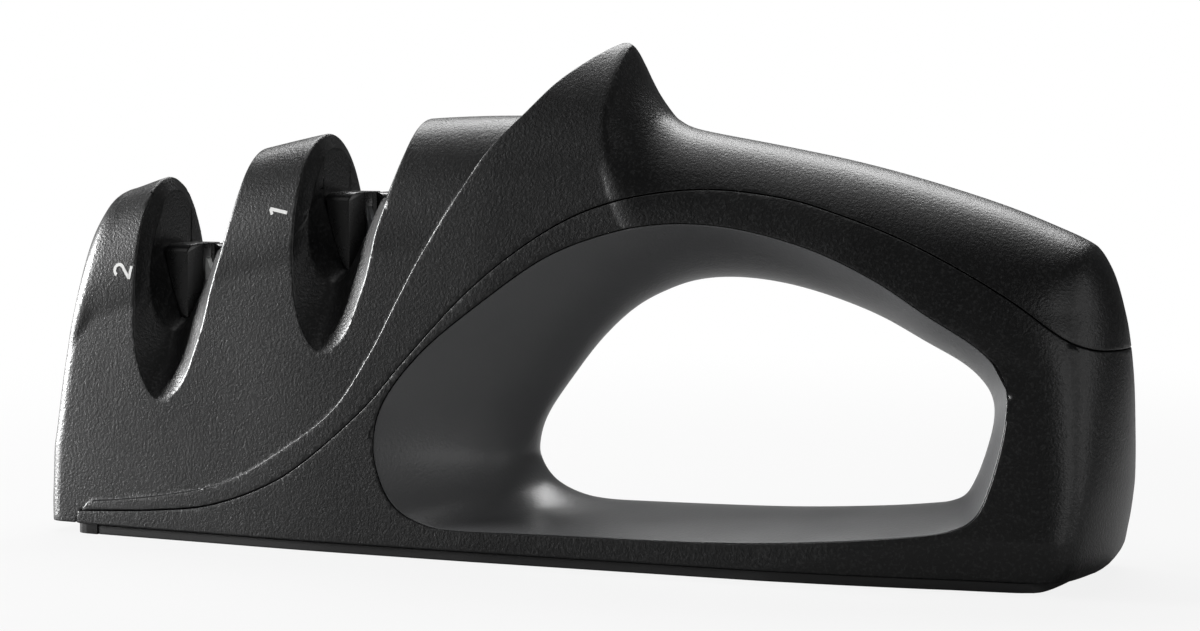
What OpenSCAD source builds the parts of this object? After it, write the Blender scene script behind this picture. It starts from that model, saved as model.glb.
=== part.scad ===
// Two-stage pull through knife sharpener with a loop handle.
// Millimetres. X runs from the nose to the rear end, Y across, Z up from the surface it stands on.
// The near side is -Y. The origin is under the middle of the body.

/* [Overall size] */
// Length from the nose to the rear end
body_length = 199.6; // [188:0.2:215]
// Width across the side walls, carried on down to the ground
body_width = 49.2; // [47:0.2:54]
// Height of the tip of the thumb fin
body_height = 89.5; // [86:0.5:96]
// How far the side walls lean inward for each millimetre of height
side_draft = 0.15; // [0.1:0.01:0.17]
// Height of the rounded crown above the straight side walls
crown_height = 23; // [20:0.5:26]
// Step from the raised band down to the recessed head
step_depth = 0.7; // [0.4:0.1:1.2]
// Length over which the rear end rounds off in plan
rear_round = 20; // [16:1:24]
// Radius of the upright corners of the nose
nose_radius = 3; // [2:0.5:5]
// Width of the joint line between the two housings
joint_gap = 0.2; // [0.1:0.05:0.4]

/* [Base] */
// Height of the rubber pad, from the ground to the housings
pad_height = 1.85; // [1.4:0.05:2.4]
// How far the rubber pad stays inside the foot of the side walls
pad_inset = 0.5; // [0.3:0.1:1.5]
// How far the rubber pad starts behind the foot of the nose
pad_front_setback = 5.7; // [4:0.1:8]
// How far the rubber pad ends ahead of the foot of the rear end
pad_rear_setback = 2.4; // [1.5:0.1:4]
// Thickness of the base plate let into the underside
plate_thickness = 1.2; // [1:0.1:1.6]
// How far the base plate stays inside the outline of the pad
plate_inset = 3; // [2.5:0.1:4]
// Height of the bevel round the foot of the rear half
foot_bevel_height = 3.8; // [2:0.2:5]
// How far that bevel runs inward
foot_bevel_depth = 1.6; // [1:0.1:2.5]

/* [Blade slots] */
// Clear width of a blade slot between its inner walls
slot_width = 17.2; // [16:0.1:18.5]
// Distance from the front of the nose to the middle of the fine slot
fine_slot_setback = 26.9; // [25.5:0.1:29]
// Distance from the fine slot to the coarse slot
slot_pitch = 33.8; // [32:0.2:35]
// How much higher the coarse slot sits
slot_rise = 9.9; // [8:0.1:11]
// Height of the top of the fine cartridge
fine_top = 53.1; // [51:0.1:55]
// Depth of the flared leaf below the top of the cartridge
leaf_depth = 28.1; // [26:0.1:29]
// Width of the flare along the arched edges of the slot
flare_width = 3.1; // [2:0.1:4]

/* [Cartridges] */
// Depth of a cartridge, from its near face to its far face
holder_depth = 10; // [9:0.2:11]
// Height of a cartridge
holder_height = 26; // [25:0.5:27]
// Radius of the rounded top edges of a cartridge
holder_radius = 1.7; // [1:0.1:2]
// Width of the blade gap at its throat
gap_width = 2.4; // [2:0.1:3]
// Width of the blade gap at its mouth
gap_mouth = 7; // [6:0.2:8]
// Depth of the chamfer from the mouth to the throat
gap_chamfer = 1.9; // [1.5:0.1:2.4]
// Depth of the blade gap below the top of the cartridge
gap_depth = 14; // [13:0.2:16]
// Thickness of an abrasive plate
abrasive_thickness = 2.1; // [1.6:0.1:2.4]
// Width of an abrasive plate
abrasive_width = 6; // [5:0.2:7]
// Lean of each abrasive plate from upright
abrasive_angle = 19; // [16:0.5:22]
// Depth of the bottom of the V below the top of the cartridge
v_depth = 6.6; // [6:0.1:8]
// Depth of the top ends of the plates below the top of the cartridge
abrasive_top_gap = 2; // [1.6:0.1:3]
// Bevel ground along the cutting edge of each plate
abrasive_bevel = 0.6; // [0.3:0.1:0.8]

/* [Handle] */
// Thickness of the soft liner
liner_thickness = 1.9; // [1.4:0.1:2.4]

/* [Fasteners] */
// Shank diameter of the housing screws
screw_d = 3; // [2.5:0.1:3.5]
// Head diameter of the housing screws
screw_head_d = 5.6; // [5:0.1:6.5]
// Height of the head of a housing screw
screw_head_h = 2; // [1.6:0.1:2.4]
// Shank diameter of the small screws
small_screw_d = 2; // [1.8:0.1:2.4]
// Head diameter of the small screws
small_head_d = 4; // [3.6:0.1:4.6]
// Height of the head of a small screw
small_head_h = 1.2; // [1:0.1:1.6]
// Clearance between pieces that fit together
fit_gap = 0.1; // [0.05:0.05:0.2]

/* [Hidden] */
$fn = 48;

// One overrun serves every cut
over = 5;
// Far more than any half width of the body
reach = 2*body_width;
housing_colour = "#232425";
black_part_colour = "#1a1b1c";

// Outlines. Side views are shares of the length and of the height, written [x share, z share].
// Front profile of the nose, from the ground up
nose_shares = [[-0.4945, 0], [-0.4975, 0.06], [-0.499, 0.126], [-0.5, 0.17], [-0.4982, 0.212],
    [-0.4955, 0.296], [-0.4915, 0.38], [-0.485, 0.464], [-0.4797, 0.559], [-0.477, 0.637],
    [-0.4749, 0.67], [-0.4674, 0.74]];
// Profile of the rear end, from the ground up
rear_shares = [[0.4649, 0], [0.476, 0.0207], [0.4875, 0.05], [0.4945, 0.0816], [0.4972, 0.114],
    [0.4985, 0.152], [0.4992, 0.19], [0.5, 0.261], [0.4995, 0.369], [0.4955, 0.458], [0.49, 0.516],
    [0.4842, 0.563], [0.4775, 0.598], [0.4699, 0.626], [0.4584, 0.66]];
// Crest of the recessed head
head_crest_shares = [[-0.4825, 0.637], [-0.4709, 0.6735], [-0.4649, 0.6905], [-0.4559, 0.7017],
    [-0.4439, 0.7095], [-0.4133, 0.7312], [-0.3611, 0.763], [-0.3092, 0.791], [-0.2431, 0.8223],
    [-0.1932, 0.838], [-0.1434, 0.8514], [-0.0915, 0.857], [-0.0521, 0.8581], [-0.01, 0.8585],
    [0.0299, 0.8585], [0.0798, 0.8585], [0.1497, 0.8585]];
// Crest of the fin and the handle
handle_crest_shares = [[-0.519, 1], [-0.2994, 1], [-0.1198, 1], [-0.0299, 1], [0.015, 1],
    [0.0349, 1], [0.045, 1], [0.0521, 0.9994], [0.0562, 0.99], [0.0613, 0.9625], [0.0721, 0.914],
    [0.0867, 0.867], [0.0966, 0.8495], [0.1072, 0.838], [0.1277, 0.8268], [0.1959, 0.8],
    [0.2625, 0.771], [0.3282, 0.734], [0.3923, 0.6905], [0.4409, 0.649], [0.4589, 0.6313],
    [0.4689, 0.618], [0.478, 0.6022], [0.4902, 0.57]];
// Front edge of the raised band, which climbs from the foot of the nose to the tip of the fin
step_shares = [[-0.4539, 0.054], [-0.4469, 0.067], [-0.4178, 0.074], [-0.3587, 0.0927],
    [-0.3006, 0.124], [-0.2465, 0.189], [-0.1938, 0.276], [-0.1594, 0.39], [-0.1352, 0.497],
    [-0.1118, 0.5955], [-0.0626, 0.767], [-0.022, 0.866], [-0.0006, 0.92], [0.0181, 0.9564],
    [0.0347, 0.984], [0.045, 0.9985]];
// Joint line between the housings
joint_shares = [[-0.4567, 0.046], [-0.3737, 0.058], [-0.3123, 0.077], [-0.252, 0.1263],
    [-0.2075, 0.192], [-0.1597, 0.287], [-0.1238, 0.38], [-0.0716, 0.505], [-0.0194, 0.6],
    [0.0345, 0.669], [0.0921, 0.706], [0.1538, 0.7184], [0.219, 0.7028], [0.268, 0.6737],
    [0.3177, 0.6346], [0.3658, 0.5855], [0.416, 0.523], [0.4539, 0.4637], [0.4705, 0.4425],
    [0.4882, 0.4313], [0.5187, 0.4313]];
// Edge of the liner on the side of the body, and its waist in the middle plane, point for point
liner_edge_shares = [[-0.1498, 0.22], [-0.1412, 0.303], [-0.1058, 0.402], [-0.0491, 0.503],
    [0.0051, 0.585], [0.0581, 0.631], [0.1082, 0.6525], [0.1584, 0.6525], [0.2075, 0.6346],
    [0.2575, 0.602], [0.3061, 0.553], [0.3487, 0.495], [0.3847, 0.448], [0.4038, 0.413],
    [0.4154, 0.374], [0.4178, 0.327], [0.4144, 0.2615], [0.4058, 0.182], [0.3958, 0.135],
    [0.3777, 0.1106], [0.3477, 0.0972], [0.2706, 0.0793], [0.1739, 0.066], [0.0151, 0.0615],
    [-0.0577, 0.0592], [-0.0921, 0.0648], [-0.1228, 0.0939], [-0.1412, 0.1475]];
liner_waist_shares = [[-0.0386, 0.2], [-0.0295, 0.262], [-0.0031, 0.345], [0.0245, 0.42],
    [0.0549, 0.48], [0.0864, 0.518], [0.119, 0.541], [0.1574, 0.547], [0.2004, 0.537],
    [0.2441, 0.513], [0.2878, 0.478], [0.3285, 0.432], [0.358, 0.398], [0.3752, 0.368],
    [0.3854, 0.335], [0.3875, 0.296], [0.3824, 0.245], [0.3733, 0.19], [0.3621, 0.152],
    [0.3427, 0.131], [0.3133, 0.119], [0.2563, 0.106], [0.1729, 0.0955], [0.0631, 0.0905],
    [0.0224, 0.094], [-0.0041, 0.107], [-0.0239, 0.13], [-0.0356, 0.163]];
// Half width of the foot along the body, as shares of the length and of the full width
foot_shares = [[-0.5288, 0.366], [-0.4759, 0.39], [-0.4373, 0.4045], [-0.3807, 0.4228],
    [-0.3256, 0.439], [-0.2204, 0.4695], [-0.1203, 0.4817], [-0.0204, 0.4919], [0.0733, 0.5],
    [0.1628, 0.498], [0.2505, 0.4919], [0.3356, 0.4797], [0.3757, 0.4675], [0.417, 0.452],
    [0.4577, 0.438], [0.5187, 0.42]];

// A leaf-shaped slot, from the left wall down round the bottom and up the right wall.
// Each row: outer edge x and z, inner edge x and z, set-in of the inner edge, throat x and z.
// X is a share of the slot width, Z of the leaf depth and the set-in of the flare width.
leaf_shares = [
    [-0.5814, -0.285, -0.494, -0.107, 1.0, -0.494, 0.0],
    [-0.5756, -0.463, -0.483, -0.302, 1.03, -0.459, -0.085],
    [-0.5174, -0.69, -0.442, -0.431, 1.16, -0.407, -0.206],
    [-0.4012, -0.868, -0.372, -0.52, 1.48, -0.355, -0.313],
    [-0.2674, -0.975, -0.297, -0.562, 1.77, -0.302, -0.413],
    [-0.1453, -1.0, -0.221, -0.573, 1.84, -0.233, -0.488],
    [0.0233, -0.947, -0.14, -0.555, 1.77, -0.151, -0.477],
    [0.1453, -0.836, -0.07, -0.509, 1.61, -0.07, -0.427],
    [0.25, -0.648, 0.012, -0.441, 1.42, 0.023, -0.342],
    [0.314, -0.512, 0.093, -0.363, 1.26, 0.128, -0.249],
    [0.3895, -0.274, 0.233, -0.196, 1.1, 0.267, -0.114],
    [0.4884, -0.071, 0.349, -0.036, 1.03, 0.384, 0.018]
];
// Above the last row the right wall goes on up, with x and z as shares of the same sizes
right_wall_shares = [[0.4884, -0.071, 0.349], [0.5465, 0.071, 0.4244], [0.6105, 0.267, 0.477],
    [0.6395, 0.54, 0.494], [0.65, 0.8, 0.494]];

// Ribs of the body, as shares of the length
rib_shares = [0.035, 0.06, 0.1, 0.15, 0.2, 0.25, 0.3, 0.35, 0.4, 0.44, 0.48, 0.51, 0.53, 0.545,
    0.551, 0.557, 0.563, 0.57, 0.577, 0.585, 0.593, 0.602, 0.613, 0.627, 0.65, 0.68, 0.71, 0.74,
    0.77, 0.8, 0.83, 0.86, 0.885, 0.905, 0.922, 0.937, 0.95, 0.961, 0.971, 0.979, 0.986, 0.9915,
    0.9955, 0.998, 0.9995];
head_rib_shares = [0, 0.0013, 0.0045, 0.009, 0.0148, 0.03, 0.055, 0.085, 0.12, 0.16, 0.2, 0.24,
    0.28, 0.32, 0.36, 0.4, 0.44, 0.5, 0.56];
// Parts of a rib: up the crown, up the wall, and the parts of a curve between two of its points
crown_steps = 9;
wall_steps = 3;
spline_steps = 3;

// Smooth curves through a few points
function catmull(a, b, c, d, t) =
    0.5*(2*b + (c - a)*t + (2*a - 5*b + 4*c - d)*t*t + (3*b - a - 3*c + d)*t*t*t);
function smooth_open(p, n = spline_steps) = [
    for (i = [0 : len(p) - 2], k = [0 : n - 1])
        catmull(p[max(i - 1, 0)], p[i], p[i + 1], p[min(i + 2, len(p) - 1)], k/n),
    p[len(p) - 1]
];
function smooth_closed(p, n = 2) = [
    for (i = [0 : len(p) - 1], k = [0 : n - 1])
        catmull(p[(i + len(p) - 1) % len(p)], p[i], p[(i + 1) % len(p)], p[(i + 2) % len(p)], k/n)
];
function side_place(p) = [p.x*body_length, p.y*body_height];
function side_curve(p) = [for (q = smooth_open(p)) side_place(q)];
function flipped(p) = [for (q = p) [q.y, q.x]];
function backward(p) = [for (i = [len(p) - 1 : -1 : 0]) p[i]];

head_crest = side_curve(head_crest_shares);
handle_crest = side_curve(handle_crest_shares);
nose_line = flipped(side_curve(nose_shares));
rear_line = flipped(side_curve(rear_shares));
foot_line = [for (q = smooth_open(foot_shares)) [q.x*body_length, q.y*body_width]];
step_line = side_curve(step_shares);
joint_line = side_curve(joint_shares);

// Half width of the outside at a point of the side view, under a given crest
fin_start = 0.858*body_height;
fin_sharpness_share = 0.2;
function sharpness(top) =
    0.5 + fin_sharpness_share*min(1, max(0, (top - fin_start)/(body_height - fin_start)));
function bevel_here(x) = foot_bevel_depth*min(1, max(0, 0.2 + 3*x/body_length));
function foot_bevel(x, z) = bevel_here(x)*max(0, 1 - max(0, z - pad_height)/foot_bevel_height);
function wall_half(x, z) = lookup(x, foot_line) - side_draft*z - foot_bevel(x, z);
function crown_half(x, z, top, inset) =
    let (start = top - crown_height, rise = min(1, max(0, (z - start)/crown_height)))
    (wall_half(x, min(z, start)) - inset)*pow(1 - rise*rise, sharpness(top));
function rear_close(distance, round_length = rear_round) =
    sqrt(1 - pow(1 - min(1, distance/round_length), 2));
function nose_close(distance) =
    nose_radius - sqrt(nose_radius*nose_radius - pow(nose_radius - min(nose_radius, distance), 2));
function half_width(x, z, crest, inset) =
    let (ahead = x - lookup(z, nose_line), behind = lookup(z, rear_line) - x)
    crown_half(x, z, lookup(x, crest), inset)*rear_close(max(0, behind))
        *(1 - 2*nose_close(max(0, ahead))/body_width);

// A rib leans with the nose and the rear end. It runs up the near side, over the crest and down.
function rib_x(share, z) =
    let (front = lookup(z, nose_line)) front + share*(lookup(z, rear_line) - front);
function rib_top(share, crest, z, tries = 8) =
    tries == 0 ? z : rib_top(share, crest, lookup(rib_x(share, z), crest), tries - 1);
function rib_heights(top, low) =
    let (start = top - crown_height, bevel_top = low + foot_bevel_height)
    [
        low,
        for (k = [0 : wall_steps - 1]) bevel_top + (start - bevel_top)*k/wall_steps,
        for (k = [0 : crown_steps - 1]) start + crown_height*sin(90*k/crown_steps)
    ];
function rib(share, crest, inset, low) =
    let (
        top = rib_top(share, crest, 0.6*body_height),
        heights = rib_heights(top, low),
        near = [for (z = heights) let (x = rib_x(share, z)) [x, -half_width(x, z, crest, inset), z]]
    )
    concat(near, [[rib_x(share, top), 0, top]], [for (p = backward(near)) [p.x, -p.y, p.z]]);

// Faces between rings of points. Each ring is closed, and the stack of rings may be closed too.
function band_faces(rings, n, closed) = [
    for (i = [0 : rings - (closed ? 1 : 2)], j = [0 : n - 1])
        let (
            a = i*n + j,
            b = i*n + (j + 1) % n,
            c = ((i + 1) % rings)*n + (j + 1) % n,
            d = ((i + 1) % rings)*n + j
        )
        each [[a, b, c], [a, c, d]]
];
// An end cap joins each near point of a rib to the far point at the same height
function cap_faces(start, n) = [
    for (j = [0 : (n - 1)/2 - 1])
        let (a = start + j, b = start + j + 1, c = start + n - 2 - j, d = start + n - 1 - j)
        each (b == c ? [[a, b, d]] : [[a, b, c], [a, c, d]])
];
function turned(faces) = [for (f = faces) [f[0], f[2], f[1]]];

module body_loft(shares, crest, inset, low) {
    ribs = [for (s = shares) rib(s, crest, inset, low)];
    n = len(ribs[0]);
    points = [for (r = ribs) each r];
    faces = concat(
        band_faces(len(ribs), n, false),
        turned(cap_faces(0, n)),
        cap_faces((len(ribs) - 1)*n, n)
    );
    polyhedron(points, faces, convexity = 6);
}

// Side view area, cut through the whole width
module through_side(outline) {
    rotate([90, 0, 0])
        linear_extrude(height = 2*reach, center = true, convexity = 6)
            polygon(outline);
}
// Plan view area, from one height to another
module slab(outline, low, high) {
    translate([0, 0, low])
        linear_extrude(height = high - low, convexity = 4)
            polygon(outline);
}

sky = body_height + over;
rear_out = body_length/2 + over;
nose_out = -body_length/2 - over;
joint_front = joint_line[0];
band_front = -0.46*body_length;
lip_front = -0.4625*body_length;
// Areas of the side view
raised_area = concat(
    [[rear_out, joint_line[len(joint_line) - 1].y]],
    backward([for (p = joint_line) if (p.x < rear_out) [p.x, p.y + joint_gap]]),
    step_line,
    [[step_line[len(step_line) - 1].x, sky], [rear_out, sky]]
);
head_back = [for (p = joint_line) if (p.x < -0.1*body_length) [p.x, p.y + joint_gap]];
head_area = concat(
    [[nose_out, pad_height], [lip_front - joint_gap, pad_height], [band_front, joint_front.y]],
    head_back,
    [[0.02*body_length, 0.87*body_height], [0.02*body_length, sky], [nose_out, sky]]
);
lower_area = concat(
    [[lip_front, 0], [band_front, joint_front.y]],
    joint_line,
    [[rear_out, joint_line[len(joint_line) - 1].y], [rear_out, 0]]
);

// Places of the slots, screws and bosses
fine_x = fine_slot_setback - body_length/2;
coarse_x = fine_x + slot_pitch;
coarse_top = fine_top + slot_rise;
pocket_half = slot_width/2;
inner_shift_share = 0.05;

// Arched part of a slot edge: the section of the head at x, at an angle up from the crown's start
function arch_point(x, angle) =
    let (top = lookup(x, head_crest), z = top - crown_height + crown_height*sin(angle))
    [x, -half_width(x, z, head_crest, step_depth), z];
function arch_out(x, angle) =
    let (
        wide = wall_half(x, lookup(x, head_crest) - crown_height) - step_depth,
        v = [0, -cos(angle)/wide, sin(angle)/crown_height]
    )
    v/norm(v);
function push(a, b, distance) = b + distance*(b - a)/norm(b - a);

// One section of the cutter: outside the skin, inner edge, throat, and far outside
function flare_section(outer, inner, throat, inward, away) =
    [push(inner, outer, step_depth), inner, throat, throat + inward,
        throat + inward + away*body_width];
function leaf_x(slot_x, share) = slot_x + share*slot_width;
function leaf_z(top, share) = top + share*leaf_depth;
arch_steps = 6;
throat_half = holder_depth/2 - 5*fit_gap;
function arch_angle(x, z) = asin(min(1, max(0, (z - lookup(x, head_crest) + crown_height)/crown_height)));
function blend(a, b, f) = a + (b - a)*f;
// Section number f of the way from the crest (0) down to where the leaf row takes over (1)
function arch_section(outer_x, inner_x, row_z, f, turn) =
    let (
        outer = arch_point(outer_x, blend(90, arch_angle(outer_x, row_z[0]), f)),
        inner_angle = blend(90, arch_angle(inner_x, row_z[1]), f),
        out = arch_out(inner_x, inner_angle),
        skin = arch_point(inner_x, inner_angle) - flare_width*out,
        inner = [inner_x, -max(0, -skin.y), skin.z],
        crest_z = lookup(inner_x, head_crest) - 1.2*flare_width,
        throat = [inner_x, -throat_half*f, blend(crest_z, row_z[2], f)]
    )
    flare_section(outer, inner, throat, [turn*2*inner_shift_share*slot_width, 0, 0], out);
function row_heights(row, top) = [leaf_z(top, row[1]), leaf_z(top, row[3]), leaf_z(top, row[6])];
function left_arch(slot_x, top) =
    let (row = leaf_shares[0], outer_x = leaf_x(slot_x, row[0]), inner_x = leaf_x(slot_x, row[2]))
    [for (k = [0 : arch_steps - 1])
        arch_section(outer_x, inner_x, row_heights(row, top), k/arch_steps, 1)];
function right_edge(slot_x, top, column) = [
    for (r = smooth_open(right_wall_shares)) [leaf_z(top, r[1]), leaf_x(slot_x, r[column])]
];
function right_arch(slot_x, top) =
    let (
        outer_edge = right_edge(slot_x, top, 0),
        inner_edge = right_edge(slot_x, top, 2),
        row = leaf_shares[len(leaf_shares) - 1],
        heights = row_heights(row, top),
        crest_z = lookup(leaf_x(slot_x, 0.64), head_crest)
    )
    [
        for (k = [1 : arch_steps])
            let (
                f = 1 - k/arch_steps,
                rise = sin(90*(1 - f)),
                outer_z = blend(heights[0], crest_z, rise),
                inner_z = blend(heights[1], crest_z, rise)
            )
            arch_section(lookup(outer_z, outer_edge), lookup(inner_z, inner_edge), heights, f, -1)
    ];
function leaf_section(row, slot_x, top) =
    let (
        ox = leaf_x(slot_x, row[0]), oz = leaf_z(top, row[1]),
        ix = leaf_x(slot_x, row[2]), iz = leaf_z(top, row[3]),
        tx = leaf_x(slot_x, row[5]), tz = leaf_z(top, row[6]),
        outer = [ox, -half_width(ox, oz, head_crest, step_depth), oz],
        inner = [ix, -half_width(ix, iz, head_crest, step_depth) + row[4]*flare_width, iz],
        middle = [slot_x - 0.09*slot_width, 0, top - 0.07*leaf_depth],
        toward = [middle.x - tx, 0, middle.z - tz]
    )
    flare_section(outer, inner, [tx, -throat_half, tz],
        inner_shift_share*2*slot_width*toward/norm(toward), [0, -1, 0]);
function slot_rings(slot_x, top) =
    let (
        near = concat(
            left_arch(slot_x, top),
            [for (row = smooth_open(leaf_shares, 2)) leaf_section(row, slot_x, top)],
            right_arch(slot_x, top)
        ),
        far = [for (i = [len(near) - 2 : -1 : 1]) [for (p = near[i]) [p.x, -p.y, p.z]]]
    )
    concat(near, far);
module slot_flare(slot_x, top) {
    rings = slot_rings(slot_x, top);
    points = [for (r = rings) each r];
    polyhedron(points, turned(band_faces(len(rings), len(rings[0]), true)), convexity = 8);
}
// The clear way between the flares, a little inside their throats
module slot_core(slot_x, top) {
    low = [for (row = smooth_open(leaf_shares, 2))
        let (
            middle = [-0.09*slot_width, -0.07*leaf_depth],
            p = [row[5]*slot_width, row[6]*leaf_depth],
            q = p + inner_shift_share*slot_width*(middle - p)/norm(middle - p)
        )
        [slot_x + q.x, top + q.y]];
    wall = (0.494 - inner_shift_share)*slot_width;
    right = [for (q = right_edge(slot_x, top, 2)) [q.y - inner_shift_share*slot_width, q.x]];
    through_side(concat([[slot_x - wall, sky]], [[slot_x - wall, top]], low,
        [for (i = [2 : len(right) - 1]) right[i]], [[slot_x + wall, sky]]));
}
// Room for the two halves of a cartridge
module holder_pocket(slot_x, top) {
    translate([slot_x - pocket_half, -holder_depth/2 - fit_gap, top - holder_height - fit_gap])
        cube([slot_width, holder_depth + 2*fit_gap, body_height]);
}
module slot_cut(slot_x, top) {
    slot_flare(slot_x, top);
    slot_core(slot_x, top);
    holder_pocket(slot_x, top);
}

// Cavity of the head, open to the underside, which takes the carrier
carrier_half = holder_depth;
carrier_floor = 7;
carrier_front = fine_x - 0.8*slot_width;
carrier_shoulder = 0.62*slot_width;
carrier_rear = coarse_x + carrier_shoulder;
carrier_step = (fine_x + coarse_x)/2;
carrier_outline = [
    [carrier_front, carrier_floor], [carrier_step, carrier_floor],
    [carrier_step, carrier_floor + slot_rise], [carrier_rear, carrier_floor + slot_rise],
    [carrier_rear, coarse_top - holder_height], [coarse_x - carrier_shoulder, coarse_top - holder_height],
    [coarse_x - carrier_shoulder, fine_top - holder_height], [carrier_front, fine_top - holder_height]
];
// The pocket for the carrier in either housing
function carrier_pocket(floor_z) = [
    [carrier_front - fit_gap, carrier_floor - fit_gap + floor_z],
    [carrier_step + fit_gap, carrier_floor - fit_gap + floor_z],
    [carrier_step + fit_gap, carrier_floor + slot_rise - fit_gap + floor_z],
    [carrier_rear + fit_gap, carrier_floor + slot_rise - fit_gap + floor_z],
    [carrier_rear + fit_gap, coarse_top - holder_height + fit_gap],
    [coarse_x - carrier_shoulder - fit_gap, coarse_top - holder_height + fit_gap],
    [coarse_x - carrier_shoulder - fit_gap, fine_top - holder_height + fit_gap],
    [carrier_front - fit_gap, fine_top - holder_height + fit_gap]
];
module side_block(outline, half) {
    rotate([90, 0, 0])
        linear_extrude(height = 2*half, center = true, convexity = 4)
            polygon(outline);
}
module upright_hole(place, low, high, diameter) {
    translate([place.x, place.y, low])
        cylinder(h = high - low, d = diameter);
}

// Screw places
head_screw_x = -0.3*body_length;
head_screw_y = carrier_half + screw_head_d/2 + 7*fit_gap;
body_screw_x = -0.19*body_length;
body_screw_y = carrier_half + 1.5*screw_d;
rear_screw_x = 0.438*body_length;
rear_screw_y = 0.14*body_width;
head_screw_places = [[head_screw_x, -head_screw_y], [head_screw_x, head_screw_y]];
body_screw_places = [[body_screw_x, -body_screw_y], [body_screw_x, body_screw_y]];
rear_screw_places = [[rear_screw_x, -rear_screw_y], [rear_screw_x, rear_screw_y]];
base_screw_places = [
    for (x = [-0.33, 0.36], y = [-0.26, 0.26]) [x*body_length, y*body_width]
];
screw_reach = 14;
body_screw_reach = 0.25*body_height;
rear_bore_top = 27;
rear_screw_reach = 18;
screw_seat = pad_height + plate_thickness + fit_gap;

module screw(place, seat_z, reach_up, shank, head, head_height) {
    translate([place.x, place.y, seat_z])
        cylinder(h = head_height, d = head);
    translate([place.x, place.y, seat_z + head_height])
        cylinder(h = reach_up, d = shank);
}
module screw_way(place, seat_z, reach_up, shank, head, head_height) {
    upright_hole(place, -over, seat_z + head_height + fit_gap, head + 2*fit_gap);
    upright_hole(place, seat_z + head_height - fit_gap, seat_z + head_height + reach_up + fit_gap,
        shank + 2*fit_gap);
}

// Plan outlines of the pad and the base plate, at an inset from the foot of the walls
plan_shares = concat([0, 0.0015, 0.005, 0.01, 0.016], rib_shares);
pad_front = nose_line[0].y + pad_front_setback;
pad_rear = lookup(pad_height, rear_line) - pad_rear_setback;
lip_length = 5.4;
lip_rear = pad_front + lip_length;
function plan_outline(inset) =
    let (
        front = pad_front + inset,
        rear = pad_rear - inset,
        line = [for (s = plan_shares)
            let (x = front + s*(rear - front), wide = wall_half(x, pad_height) - pad_inset - inset)
            [x, wide*rear_close(rear - x, rear_round/2) - nose_close(x - front)]]
    )
    concat([for (p = line) [p.x, -p.y]], backward(line));

// The hole of the handle: rings from the near edge through the waist to the far edge
liner_n = len(smooth_closed(liner_edge_shares));
liner_edge = [for (q = smooth_closed(liner_edge_shares)) side_place(q)];
liner_waist = [for (q = smooth_closed(liner_waist_shares)) side_place(q)];
liner_curve = 1.9;
function liner_point(k, depth, wide, back) =
    let (
        edge = liner_edge[k],
        out = (edge - liner_waist[k])/norm(edge - liner_waist[k]),
        waist = liner_waist[k] + (back > 0 ? back*out : [0, 0]),
        rim = edge + wide*out,
        skin = half_width(edge.x, edge.y, handle_crest, 0),
        lateral = 1 - pow(1 - depth, liner_curve),
        p = rim + (waist - rim)*lateral
    )
    [p.x, -(skin - back)*(1 - depth), p.y];
function liner_ring(depth, wide, back, side) = [
    for (k = [0 : liner_n - 1]) let (p = liner_point(k, depth, wide, back)) [p.x, side*p.y, p.z]
];
skin_depths = [0, 0.12, 0.27, 0.45, 0.7, 1];
back_depths = [0, 0.27, 0.6, 1];
function both_sides(depths, wide, back) = concat(
    [for (d = depths) liner_ring(d, wide, back, 1)],
    [for (i = [len(depths) - 2 : -1 : 0]) liner_ring(depths[i], wide, back, -1)]
);
module handle_hole() {
    rings = both_sides(back_depths, fit_gap, liner_thickness + fit_gap);
    mouth = [for (p = rings[0]) [p.x, -reach, p.z]];
    far_mouth = [for (p = rings[0]) [p.x, reach, p.z]];
    all_rings = concat([mouth], rings, [far_mouth]);
    n = liner_n;
    last = (len(all_rings) - 1)*n;
    points = [for (r = all_rings) each r];
    polyhedron(points, concat(
        turned(band_faces(len(all_rings), n, false)),
        [[for (j = [0 : n - 1]) j]],
        [[for (j = [n - 1 : -1 : 0]) last + j]]
    ), convexity = 8);
}

module upper_housing() {
    color(housing_colour)
    difference() {
        union() {
            intersection() {
                body_loft(rib_shares, handle_crest, 0, pad_height);
                through_side(raised_area);
            }
            intersection() {
                body_loft(head_rib_shares, head_crest, step_depth, pad_height);
                through_side(head_area);
            }
        }
        slot_cut(fine_x, fine_top);
        slot_cut(coarse_x, coarse_top);
        side_block(carrier_pocket(-carrier_floor - slot_rise), carrier_half + fit_gap);
        for (p = head_screw_places)
            screw_way(p, screw_seat, screw_reach, screw_d, screw_head_d, screw_head_h);
        for (p = body_screw_places)
            screw_way(p, screw_seat, body_screw_reach, screw_d, screw_head_d, screw_head_h);
        for (p = rear_screw_places)
            upright_hole(p, rear_bore_top, rear_bore_top + screw_head_h + rear_screw_reach + fit_gap,
                screw_d + 2*fit_gap);
        for (p = carrier_screw_places)
            upright_hole(p, carrier_floor, carrier_screw_top + fit_gap, small_screw_d + 2*fit_gap);
    }
}

module lower_housing() {
    color(housing_colour)
    difference() {
        intersection() {
            body_loft(rib_shares, handle_crest, 0, pad_height);
            through_side(lower_area);
        }
        handle_hole();
        side_block(carrier_pocket(0), carrier_half + fit_gap);
        holder_pocket(fine_x, fine_top);
        holder_pocket(coarse_x, coarse_top);
        slab(plan_outline(plate_inset - fit_gap), -over, pad_height + plate_thickness + fit_gap);
        for (p = head_screw_places)
            screw_way(p, screw_seat, screw_reach, screw_d, screw_head_d, screw_head_h);
        for (p = body_screw_places)
            screw_way(p, screw_seat, body_screw_reach, screw_d, screw_head_d, screw_head_h);
        for (p = rear_screw_places)
            screw_way(p, rear_bore_top, rear_screw_reach, screw_d, screw_head_d, screw_head_h);
        for (p = base_screw_places)
            upright_hole(p, -over, base_screw_top + fit_gap, small_screw_d + 2*fit_gap);
    }
}

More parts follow.
